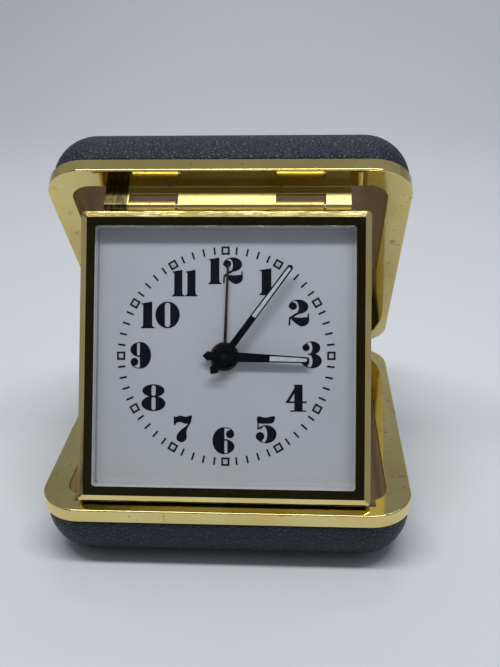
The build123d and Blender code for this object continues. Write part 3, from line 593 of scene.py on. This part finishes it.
# Heavy numbers with thin joins, one unit high: each layer is its inked shapes and what is cut out of them
DIGITS = {
    "0": [([ellipse(0.465, 0.5, 0.465, 0.5)], [slot_shape(0.465, 0.5, 0.1, 0.455)])],
    "1": [
        ([[(0.09, 0.02), (0.44, 0.02), (0.44, 1.0), (0.02, 0.935), (0.02, 0.9), (0.09, 0.885)]], []),
        ([bar(0, 0, 0.53, 0.045), [(0.03, 0.04), (0.5, 0.04), (0.44, 0.11), (0.09, 0.11)]], []),
    ],
    "2": [
        (
            [ellipse(0.4, 0.735, 0.375, 0.265)],
            [ellipse(0.265, 0.7, 0.145, 0.25), bar(-0.1, 0.3, 0.3, 0.7)],
        ),
        ([ellipse(0.2, 0.755, 0.145, 0.14)], []),
        ([[(0.62, 0.56), (0.3, 0.5), (0.04, 0.33), (0.02, 0.04), (0.09, 0.04), (0.1, 0.28), (0.3, 0.4)]], []),
        (
            [smooth_loop((0.1, 0.33), (0.45, 0.33), (0.78, 0.33), (0.77, 0.12), (0.55, 0.0), (0.33, 0.09))],
            [],
        ),
        ([[(0.72, 0.3), (0.76, 0.49), (0.8, 0.49), (0.8, 0.2)]], []),
    ],
    "3": [
        (
            [ellipse(0.42, 0.755, 0.325, 0.245)],
            [ellipse(0.32, 0.755, 0.115, 0.215), bar(-0.1, 0.4, 0.27, 0.76)],
        ),
        ([ellipse(0.19, 0.765, 0.14, 0.13)], []),
        (
            [ellipse(0.41, 0.275, 0.39, 0.275)],
            [ellipse(0.325, 0.265, 0.115, 0.235), bar(-0.1, 0.25, 0.27, 0.6)],
        ),
        ([ellipse(0.165, 0.235, 0.155, 0.15)], []),
        ([bar(0.28, 0.49, 0.5, 0.54)], []),
    ],
    "4": [
        ([bar(0.32, 0.03, 0.63, 1.0), bar(0.0, 0.32, 0.78, 0.385), bar(0.17, 0, 0.76, 0.05)], []),
        ([[(0.0, 0.34), (0.11, 0.34), (0.5, 0.95), (0.5, 1.0), (0.4, 1.0)]], []),
    ],
    "5": [
        (
            [smooth_loop((0.08, 0.99), (0.38, 0.95), (0.71, 1.0), (0.66, 0.77), (0.4, 0.72), (0.08, 0.76))],
            [],
        ),
        ([bar(0.065, 0.5, 0.12, 0.98)], []),
        (
            [ellipse(0.39, 0.335, 0.39, 0.335)],
            [ellipse(0.31, 0.325, 0.12, 0.295), bar(-0.1, 0.3, 0.26, 0.53)],
        ),
        ([ellipse(0.165, 0.255, 0.16, 0.16)], []),
    ],
    "6": [
        ([ellipse(0.43, 0.5, 0.43, 0.5)], [bar(0.45, -0.1, 1, 1.1)]),
        (
            [ellipse(0.41, 0.285, 0.42, 0.285)],
            [bar(-0.1, -0.1, 0.43, 1.1), slot_shape(0.5, 0.27, 0.062, 0.235)],
        ),
        ([ellipse(0.47, 0.77, 0.34, 0.23)], [ellipse(0.5, 0.72, 0.27, 0.245), bar(-0.1, 0.4, 1, 0.76)]),
        ([ellipse(0.665, 0.745, 0.155, 0.15)], []),
    ],
    "7": [
        (
            [
                smooth_loop(
                    (0.0, 0.66), (0.0, 0.97), (0.07, 0.94), (0.24, 0.99), (0.44, 0.95), (0.66, 1.0),
                    (0.65, 0.86), (0.58, 0.72), (0.42, 0.69), (0.24, 0.75), (0.1, 0.72), (0.05, 0.64),
                )
            ],
            [],
        ),
        (
            [
                smooth_loop(
                    (0.665, 0.94), (0.63, 0.74), (0.52, 0.55), (0.47, 0.36), (0.47, 0.13), (0.3, 0.0),
                    (0.11, 0.09), (0.12, 0.28), (0.27, 0.47), (0.47, 0.62), (0.57, 0.78), (0.61, 0.93),
                )
            ],
            [],
        ),
    ],
    "8": [
        ([ellipse(0.445, 0.765, 0.41, 0.235)], [slot_shape(0.45, 0.765, 0.075, 0.195)]),
        ([ellipse(0.445, 0.285, 0.445, 0.285)], [slot_shape(0.45, 0.28, 0.075, 0.24)]),
    ],
}

# The nine is the six upside down
SIX_WIDTH = 0.85
DIGITS["9"] = [
    tuple([[(SIX_WIDTH - x, 1 - y) for x, y in shape] for shape in group] for group in layer)
    for layer in DIGITS["6"]
]

# Gap between the digits of a number, in digit heights
DIGIT_GAP = 0.03

# Hour numbers: middle and width in millimetres, x to the right and y up from the dial's middle
HOUR_NUMBERS = {
    "12": (0.0, 16.8, 6.9),
    "1": (8.1, 14.6, 2.9),
    "2": (14.4, 8.4, 4.2),
    "3": (16.9, 0.2, 4.05),
    "4": (13.9, -8.3, 4.1),
    "5": (8.0, -14.5, 4.1),
    "6": (-0.3, -16.7, 4.5),
    "7": (-8.4, -14.4, 3.6),
    "8": (-14.3, -8.3, 4.8),
    "9": (-16.9, 0.1, 4.3),
    "10": (-13.0, 8.1, 7.8),
    "11": (-8.1, 14.4, 5.1),
}


# Kind of triangulation that keeps what lies inside the shapes, and distances that count as touching
INSIDE_ONLY = 1
CROSSING_LIMIT = 1e-9
MERGE_LIMIT = 1e-7


def anticlockwise(shape):
    """The points of a shape in anticlockwise order."""
    area = sum(a[0] * b[1] - b[0] * a[1] for a, b in zip(shape, shape[1:] + shape[:1]))
    return shape if area > 0 else shape[::-1]


def inked_triangles(layers, move):
    """Triangles of a digit's ink, with every layer's cuts taken out of that layer alone."""
    points = []
    faces = []
    owners = []
    for index, (inks, cuts) in enumerate(layers):
        for shapes, cut in ((inks, False), (cuts, True)):
            for shape in shapes:
                shape = anticlockwise(shape)
                faces.append(list(range(len(points), len(points) + len(shape))))
                points += [move(Vector(p)) for p in shape]
                owners.append((index, cut))
    found, _, triangles, _, _, sources = delaunay_2d_cdt(points, [], faces, INSIDE_ONLY, CROSSING_LIMIT)
    kept = []
    for triangle, inside in zip(triangles, sources):
        marks = {owners[i] for i in inside}
        if any((layer, False) in marks and (layer, True) not in marks for layer, _ in marks):
            kept.append([found[i] for i in triangle])
    return kept


def number_triangles(text, middle, width, height):
    """Triangles of an hour number, fitted to its middle, width and height."""
    reach = 0.0
    starts = []
    for sign in text:
        starts.append(reach)
        edges = [p[0] for inks, _ in DIGITS[sign] for shape in inks for p in shape]
        reach += max(edges) + DIGIT_GAP
    reach -= DIGIT_GAP
    triangles = []
    for sign, start in zip(text, starts):

        def move(point, start=start):
            across = ((point.x + start) / reach - 0.5) * width
            return Vector((middle[0] + across, middle[1] + (point.y - 0.5) * height))

        triangles += inked_triangles(DIGITS[sign], move)
    return triangles


def raised_print(name, triangles, thickness, place):
    """Flat triangles as a thin raised layer."""
    work = bmesh.new()
    for triangle in triangles:
        work.faces.new([work.verts.new((p.x, p.y, 0)) for p in triangle])
    bmesh.ops.remove_doubles(work, verts=work.verts, dist=MERGE_LIMIT)
    flat = list(work.faces)
    raised = bmesh.ops.extrude_face_region(work, geom=flat)["geom"]
    lifted = [v for v in raised if isinstance(v, bmesh.types.BMVert)]
    bmesh.ops.translate(work, verts=lifted, vec=(0, 0, thickness))
    bmesh.ops.recalc_face_normals(work, faces=work.faces)
    mesh = bpy.data.meshes.new(name)
    work.to_mesh(mesh)
    work.free()
    mesh.transform(place)
    return mesh


def print_plane():
    """Frame of the printing on the dial's face."""
    turn = Matrix.Rotation(dial().print_turn, 4, "Z")
    place = Matrix.Translation((dial().print_shift, dial().print_lift, 0))
    return DIAL_PLANE @ place @ turn @ Matrix.Scale(dial().print_scale, 4)


# Rings of like marks
def mark_ring_tree():
    """Nodes that set blocks in a ring, each turned outwards, with every nth left out if asked."""
    tree = bpy.data.node_groups.new("ring_of_marks", "GeometryNodeTree")
    tree.interface.new_socket("Geometry", in_out="OUTPUT", socket_type="NodeSocketGeometry")
    kinds = {
        "Count": "NodeSocketInt",
        "Radius": "NodeSocketFloat",
        "Mark Size": "NodeSocketVector",
        "Leave Out Every": "NodeSocketInt",
        "Leave Out": "NodeSocketBool",
        "Finish": "NodeSocketMaterial",
    }
    for name, kind in kinds.items():
        tree.interface.new_socket(name, in_out="INPUT", socket_type=kind)
    given = node(tree, "NodeGroupInput").outputs
    circle = node(tree, "GeometryNodeMeshCircle", {"Vertices": given["Count"], "Radius": given["Radius"]})
    index = node(tree, "GeometryNodeInputIndex").outputs["Index"]
    turn = node(tree, "ShaderNodeMath", {0: index, 1: given["Leave Out Every"]}, operation="MODULO")
    first = node(tree, "ShaderNodeMath", {0: turn.outputs[0], 1: 0.5}, operation="LESS_THAN")
    chosen = node(
        tree, "FunctionNodeBooleanMath", {0: first.outputs[0], 1: given["Leave Out"]}, operation="AND"
    )
    unwanted = {"Geometry": circle.outputs["Mesh"], "Selection": chosen.outputs[0]}
    sites = node(tree, "GeometryNodeDeleteGeometry", unwanted)
    spot = {"Vector": node(tree, "GeometryNodeInputPosition").outputs["Position"]}
    outward = node(tree, "FunctionNodeAlignRotationToVector", spot, axis="Y", pivot_axis="Z")
    block = node(tree, "GeometryNodeMeshCube", {"Size": given["Mark Size"]})
    marks = node(
        tree,
        "GeometryNodeInstanceOnPoints",
        {
            "Points": sites.outputs["Geometry"],
            "Instance": block.outputs["Mesh"],
            "Rotation": outward.outputs["Rotation"],
        },
    )
    whole = node(tree, "GeometryNodeRealizeInstances", {"Geometry": marks.outputs["Instances"]})
    finished = node(
        tree, "GeometryNodeSetMaterial", {"Geometry": whole.outputs["Geometry"], "Material": given["Finish"]}
    )
    node(tree, "NodeGroupOutput", {"Geometry": finished.outputs["Geometry"]})
    return tree


def ring_of_marks(name, count, size, finish, lift=0.0, leave_out_every=0):
    """A piece of marks in a ring, made plain mesh and put on the dial at a lift above its face."""
    tree = bpy.data.node_groups.get("ring_of_marks") or mark_ring_tree()
    values = {
        "Count": count,
        "Radius": dial().ring_radius,
        "Mark Size": size,
        "Leave Out Every": max(leave_out_every, 1),
        "Leave Out": leave_out_every > 0,
        "Finish": finish,
    }
    carrier = bpy.data.objects.new(name + "_nodes", bpy.data.meshes.new(name + "_nodes"))
    bpy.context.scene.collection.objects.link(carrier)
    modifier = carrier.modifiers.new("ring", "NODES")
    modifier.node_group = tree
    for item in tree.interface.items_tree:
        if item.in_out == "INPUT" and item.name in values:
            modifier[item.identifier] = values[item.name]
    graph = bpy.context.evaluated_depsgraph_get()
    mesh = bpy.data.meshes.new_from_object(carrier.evaluated_get(graph))
    carrier.modifiers.remove(modifier)
    bpy.data.objects.remove(carrier)
    mesh.name = name
    mesh.transform(print_plane() @ Matrix.Translation((0, 0, lift + size[2] / 2)))
    new_piece(name, mesh, finish, "clock")


# Operators
class TRAVELCLOCK_OT_covers(bpy.types.Operator):
    """Leatherette covers of the base and the lid"""

    bl_idname = "travel_clock.covers"
    bl_label = "Leatherette Covers"

    def execute(self, context):
        finish = leatherette()
        for body, plane in SHELLS.items():
            mesh = tray(
                body + "_leather_cover", plane, COVER_SIZE, case().cover_corner, case().cover_edge,
                COVER_TOP, COVER_BOTTOM, case().leather_sheet,
            )
            piece = new_piece(body + "_leather_cover", mesh, finish, body)
            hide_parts(body + "_cover")
        return {"FINISHED"}


class TRAVELCLOCK_OT_linings(bpy.types.Operator):
    """Flock lining trays of the base and the lid"""

    bl_idname = "travel_clock.linings"
    bl_label = "Linings"

    def execute(self, context):
        finish = flock()
        for body, plane in SHELLS.items():
            mesh = tray(
                body + "_flock_lining", plane, LINING_SIZE, case().lining_corner, case().lining_edge,
                LINING_TOP, LINING_BOTTOM, case().lining_sheet, wave=0.05 * MM, wave_size=6 * MM,
            )
            piece = new_piece(body + "_flock_lining", mesh, finish, body)
            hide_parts(body + "_lining")
        return {"FINISHED"}


class TRAVELCLOCK_OT_rims(bpy.types.Operator):
    """Gilt rims of both shells, the rest for the clock's foot and the sheet pans"""

    bl_idname = "travel_clock.rims"
    bl_label = "Gilt Rims"

    def execute(self, context):
        dark_patch = (corner_stain, case().tarnish)
        rim = gilt("gilt_rim", roughness=(0.04, 0.1), spots=0.68, dark_patch=dark_patch)
        dress(("base_rim", "lid_rim", "clock_rest"), rim)
        pan = metal("pan_sheet", bright=(0.3, 0.3, 0.31), dull=(0.2, 0.18, 0.16))
        dress(("base_pan", "lid_pan"), pan)
        return {"FINISHED"}


class TRAVELCLOCK_OT_hinges(bpy.types.Operator):
    """Case hinge, hinge strip of the clock, rivets and pins"""

    bl_idname = "travel_clock.hinges"
    bl_label = "Hinges"

    def execute(self, context):
        brushed = {"roughness": (0.3, 0.42), "spots": 0.64, "grain": (0.2, 1, 1)}
        dress(("case_hinge_base_leaf", "case_hinge_lid_leaf"), gilt("gilt_case_hinge", **brushed))
        strip = ("clock_hinge_strip", "clock_hinge_rivets", "clock_hinge_tongues")
        # The strip's left end gets a painted dark reflection in place of its real bend
        dress(strip, gilt("gilt_brushed", **brushed, dark_patch=(dark_end_mask, case().dark_end_reflection)))
        pin = metal("hinge_pin_steel", bright=(0.55, 0.54, 0.52), dull=(0.36, 0.33, 0.3))
        dress(("case_hinge_pin", "clock_hinge_pin"), pin)
        return {"FINISHED"}


class TRAVELCLOCK_OT_clock_case(bpy.types.Operator):
    """Bezel, back cover, its screws and the frame round the dial"""

    bl_idname = "travel_clock.clock_case"
    bl_label = "Clock Case"

    def execute(self, context):
        dress(("bezel",), gilt("gilt_bezel", roughness=(0.03, 0.08), spots=0.72))
        back = gilt("gilt_back", roughness=(0.22, 0.36), spots=0.68, grain=(0.06, 1, 1))
        dress(("back_cover",), back)
        screws = metal("screw_steel", bright=(0.6, 0.6, 0.6), dull=(0.4, 0.38, 0.36))
        dress(("back_cover_screws",), screws)
        white = paint(
            "spacer_white", fresh=(0.6, 0.6, 0.62), aged=(0.5, 0.5, 0.52), patch=6 * MM,
            roughness=(0.4, 0.6), grain=0.4 * MM, depth=0.01 * MM,
        )
        dress(("dial_spacer",), white)
        return {"FINISHED"}


class TRAVELCLOCK_OT_crystal(bpy.types.Operator):
    """Clear box crystal over the dial"""

    bl_idname = "travel_clock.crystal"
    bl_label = "Crystal"

    def execute(self, context):
        dress(("crystal",), clear_crystal())
        return {"FINISHED"}


class TRAVELCLOCK_OT_dial(bpy.types.Operator):
    """Dial ground and printed hour numbers"""

    bl_idname = "travel_clock.dial"
    bl_label = "Dial and Numbers"

    def execute(self, context):
        ground = paint(
            "dial_enamel", fresh=dial().enamel, aged=dial().enamel_shade, patch=14 * MM,
            roughness=(0.38, 0.5), grain=0.12 * MM, depth=0.004 * MM, coat=0.2,
        )
        dress(("dial",), ground)
        triangles = []
        for text, (x, y, width) in HOUR_NUMBERS.items():
            triangles += number_triangles(text, (x * MM, y * MM), width * MM, dial().number_height)
        if not triangles:
            raise RuntimeError("the hour numbers came out empty")
        mesh = raised_print("dial_numbers", triangles, dial().ink_thickness, print_plane())
        new_piece("dial_numbers", mesh, dial_ink(), "clock")
        return {"FINISHED"}


def dial_ink():
    """Black printing ink, made once."""
    made = bpy.data.materials.get("dial_ink")
    if made:
        return made
    return paint(
        "dial_ink", fresh=dial().ink, aged=shade(dial().ink, 2.2), patch=3 * MM,
        roughness=(0.3, 0.45), grain=0.15 * MM, depth=0.002 * MM, gloss=0.2,
    )


def luminous_paint(name, pale):
    """Pale grainy luminous paint."""
    return paint(
        name, fresh=pale, aged=shade(pale, 0.75), patch=0.7 * MM,
        roughness=(0.7, 0.9), grain=0.12 * MM, depth=0.03 * MM,
    )


class TRAVELCLOCK_OT_minute_marks(bpy.types.Operator):
    """Minute marks between the hours"""

    bl_idname = "travel_clock.minute_marks"
    bl_label = "Minute Marks"

    def execute(self, context):
        size = (dial().tick_width, dial().tick_length, dial().ink_thickness)
        hour = dial().minutes // dial().hours
        ring_of_marks("dial_minute_marks", dial().minutes, size, dial_ink(), leave_out_every=hour)
        return {"FINISHED"}


class TRAVELCLOCK_OT_hour_squares(bpy.types.Operator):
    """Hour squares with their luminous pads"""

    bl_idname = "travel_clock.hour_squares"
    bl_label = "Hour Squares"

    def execute(self, context):
        thick = dial().ink_thickness
        pad_thick = 3 * thick
        square = (dial().square_size, dial().square_size, thick)
        ring_of_marks("dial_hour_squares", dial().hours, square, dial_ink())
        pad = (dial().pad_size, dial().pad_size, pad_thick)
        glow = luminous_paint("luminous_pads", dial().pad_paint)
        ring_of_marks("dial_luminous_pads", dial().hours, pad, glow, lift=thick)
        return {"FINISHED"}


class TRAVELCLOCK_OT_hands(bpy.types.Operator):
    """Black hands, their luminous fillings and the alarm hand"""

    bl_idname = "travel_clock.hands"
    bl_label = "Hands"

    def execute(self, context):
        black = paint(
            "hand_lacquer", fresh=dial().ink, aged=shade(dial().ink, 2), patch=2 * MM,
            roughness=(0.18, 0.3), grain=0.3 * MM, depth=0.003 * MM, coat=0.3, gloss=0.3,
        )
        dress(("minute_hand", "hour_hand"), black)
        glow = luminous_paint("luminous_fillings", dial().luminous)
        dress(("minute_hand_filling", "hour_hand_filling"), glow)
        bronze = metal("alarm_hand_bronze", bright=(0.20, 0.16, 0.10), dull=(0.11, 0.08, 0.05))
        dress(("alarm_hand",), bronze)
        blued = metal("arbor_blued", bright=(0.08, 0.08, 0.10), dull=(0.03, 0.03, 0.04))
        dress(("centre_arbor",), blued)
        return {"FINISHED"}


class TRAVELCLOCK_OT_controls(bpy.types.Operator):
    """Keys, setting knobs, stop button and regulator on the back"""

    bl_idname = "travel_clock.controls"
    bl_label = "Back Controls"

    def execute(self, context):
        keys = ("time_key", "alarm_key", "time_set_knob", "alarm_set_knob", "alarm_stop_button")
        dress(keys, gilt("gilt_controls", roughness=(0.16, 0.3), spots=0.68))
        lever = metal("regulator_steel", bright=(0.6, 0.6, 0.6), dull=(0.42, 0.4, 0.38))
        dress(("regulator_lever",), lever)
        return {"FINISHED"}


class TRAVELCLOCK_OT_movement(bpy.types.Operator):
    """Brass and steel of the movement"""

    bl_idname = "travel_clock.movement"
    bl_label = "Movement"

    def execute(self, context):
        brass = (
            "front_plate", "rear_plate", "plate_pillars", "time_barrel", "alarm_barrel", "centre_wheel",
            "third_wheel", "fourth_wheel", "escape_wheel", "strike_wheel", "balance_wheel", "minute_wheel",
            "hour_wheel", "alarm_wheel",
        )
        steel = (
            "time_mainspring", "alarm_mainspring", "winding_clicks", "pallet_lever", "hairspring",
            "alarm_hammer", "time_arbor", "alarm_arbor", "alarm_set_arbor",
        )
        dress(brass, metal("movement_brass", bright=(0.74, 0.54, 0.22), dull=(0.5, 0.34, 0.12)))
        dress(steel, metal("movement_steel", bright=(0.5, 0.51, 0.54), dull=(0.34, 0.33, 0.33)))
        return {"FINISHED"}


def paper_sweep():
    """Floor that bends up into a backdrop, as one sheet."""
    half_width = 1.2
    front = -0.9
    bend_start = 0.35
    bend_radius = 0.35
    bend_steps = 24
    height = 1.2
    profile = [(front, 0.0), (bend_start, 0.0)]
    for i in range(1, bend_steps + 1):
        turn = math.radians(90 * i / bend_steps)
        profile.append((bend_start + bend_radius * math.sin(turn), bend_radius * (1 - math.cos(turn))))
    profile.append((bend_start + bend_radius, height))
    mesh = bpy.data.meshes.new("paper_sweep")
    points = [(side * half_width, y, z) for y, z in profile for side in (-1, 1)]
    faces = [(2 * i, 2 * i + 1, 2 * i + 3, 2 * i + 2) for i in range(len(profile) - 1)]
    mesh.from_pydata(points, [], faces)
    for face in mesh.polygons:
        face.use_smooth = True
    sheet = bpy.data.objects.new("paper_sweep", mesh)
    bpy.context.scene.collection.objects.link(sheet)
    finish = paint(
        "paper", fresh=stage().paper, aged=shade(stage().paper, 0.97), patch=200 * MM,
        roughness=(0.8, 0.95), grain=0.5 * MM, depth=0.004 * MM,
    )
    mesh.materials.append(finish)


def light_strip(name, place, aim, watts):
    """Long thin light across the stage."""
    lamp = bpy.data.lights.new(name, "AREA")
    lamp.shape = "RECTANGLE"
    lamp.size = stage().strip_length
    lamp.size_y = stage().strip_width
    lamp.energy = watts
    made = bpy.data.objects.new(name, lamp)
    bpy.context.scene.collection.objects.link(made)
    made.location = place
    made.rotation_euler = (aim - place).to_track_quat("-Z", "Y").to_euler()


def light_strips():
    """A strip high in front of the clock, and one behind it for the backdrop."""
    setup = stage()
    clock_middle = Vector((0, -0.01, 0.04))
    behind_clock = Vector((0, 0.26, 0.42))
    backdrop_foot = Vector((0, 0.34, 0))
    away = Vector((0, -math.cos(setup.key_rise), math.sin(setup.key_rise)))
    light_strip("front_strip", clock_middle + setup.key_distance * away, clock_middle, setup.key_power)
    light_strip("back_strip", behind_clock, backdrop_foot, setup.back_power)


def dark_card():
    """Dark card behind the camera, which the bright metal and the crystal mirror and no view shows."""
    half_width = 0.31
    half_height = 0.22
    place = Vector((-0.13, -0.42, 0.24))
    aim = Vector((0, 0, 0.04))
    corners = ((-1, -1), (1, -1), (1, 1), (-1, 1))
    mesh = bpy.data.meshes.new("dark_card")
    mesh.from_pydata([(half_width * x, half_height * y, 0) for x, y in corners], [], [(0, 1, 2, 3)])
    turn = (aim - place).to_track_quat("Z", "Y").to_matrix().to_4x4()
    mesh.transform(Matrix.Translation(place) @ turn)
    card = bpy.data.objects.new("dark_card", mesh)
    bpy.context.scene.collection.objects.link(card)
    finish = paint(
        "card_black", fresh=(0.012, 0.011, 0.010), aged=(0.02, 0.018, 0.016), patch=100 * MM,
        roughness=(0.8, 0.9), grain=1 * MM, depth=0.004 * MM,
    )
    mesh.materials.append(finish)
    card.visible_camera = False
    card.visible_shadow = False


def photo_camera():
    """Camera at the photograph's place and angle."""
    setup = stage()
    pitch, yaw, roll = setup.camera_pitch, setup.camera_yaw, setup.camera_roll
    ahead = Vector(
        (math.sin(yaw) * math.cos(pitch), math.cos(yaw) * math.cos(pitch), -math.sin(pitch))
    )
    level = Vector((math.cos(yaw), -math.sin(yaw), 0))
    down = ahead.cross(level)
    right = math.cos(roll) * level + math.sin(roll) * down
    up = math.sin(roll) * level - math.cos(roll) * down
    lens = bpy.data.cameras.new("photo_camera")
    lens.sensor_width = 36.0
    lens.lens = setup.focal_pixels / max(PHOTO_SIZE) * lens.sensor_width
    lens.clip_start = 0.01
    made = bpy.data.objects.new("photo_camera", lens)
    bpy.context.scene.collection.objects.link(made)
    turn = Matrix((right, up, -ahead)).transposed().to_4x4()
    made.matrix_world = Matrix.Translation(setup.camera_place) @ turn
    bpy.context.scene.camera = made


class TRAVELCLOCK_OT_stage(bpy.types.Operator):
    """Paper floor and backdrop, light strips, dark card, room light and camera"""

    bl_idname = "travel_clock.stage"
    bl_label = "Stage"

    def execute(self, context):
        context.scene.view_settings.view_transform = "Standard"
        paper_sweep()
        light_strips()
        dark_card()
        world = bpy.data.worlds.new("room_light")
        context.scene.world = world
        world.use_nodes = True
        room = world.node_tree.nodes["Background"]
        room.inputs["Color"].default_value = (*stage().room, 1)
        room.inputs["Strength"].default_value = stage().room_level
        photo_camera()
        return {"FINISHED"}


PIECE_OPERATORS = (
    TRAVELCLOCK_OT_covers,
    TRAVELCLOCK_OT_linings,
    TRAVELCLOCK_OT_rims,
    TRAVELCLOCK_OT_hinges,
    TRAVELCLOCK_OT_clock_case,
    TRAVELCLOCK_OT_crystal,
    TRAVELCLOCK_OT_dial,
    TRAVELCLOCK_OT_minute_marks,
    TRAVELCLOCK_OT_hour_squares,
    TRAVELCLOCK_OT_hands,
    TRAVELCLOCK_OT_controls,
    TRAVELCLOCK_OT_movement,
    TRAVELCLOCK_OT_stage,
)


class TRAVELCLOCK_PT_pieces(bpy.types.Panel):
    """Lists the pieces of the clock and their settings"""

    bl_idname = "TRAVELCLOCK_PT_pieces"
    bl_label = "Travel Clock"
    bl_space_type = "VIEW_3D"
    bl_region_type = "UI"
    bl_category = "Travel Clock"

    def draw(self, context):
        for made in PIECE_OPERATORS:
            self.layout.operator(made.bl_idname)
        for settings in (case(), dial(), stage()):
            box = self.layout.box()
            for name in settings.__annotations__:
                box.prop(settings, name)


SETTINGS = {
    "travel_clock_case": CaseSettings,
    "travel_clock_dial": DialSettings,
    "travel_clock_stage": StageSettings,
}
CLASSES = (*SETTINGS.values(), *PIECE_OPERATORS, TRAVELCLOCK_PT_pieces)


def register():
    """Adds the settings, the operators and the panel."""
    for made in CLASSES:
        bpy.utils.register_class(made)
    for name, made in SETTINGS.items():
        setattr(bpy.types.Scene, name, PointerProperty(type=made))


def unregister():
    """Takes them away again."""
    for name in SETTINGS:
        delattr(bpy.types.Scene, name)
    for made in reversed(CLASSES):
        bpy.utils.unregister_class(made)


def main():
    """Makes every piece in order."""
    register()
    for made in PIECE_OPERATORS:
        group, name = made.bl_idname.split(".")
        getattr(getattr(bpy.ops, group), name)()


if __name__ == "__main__":
    main()
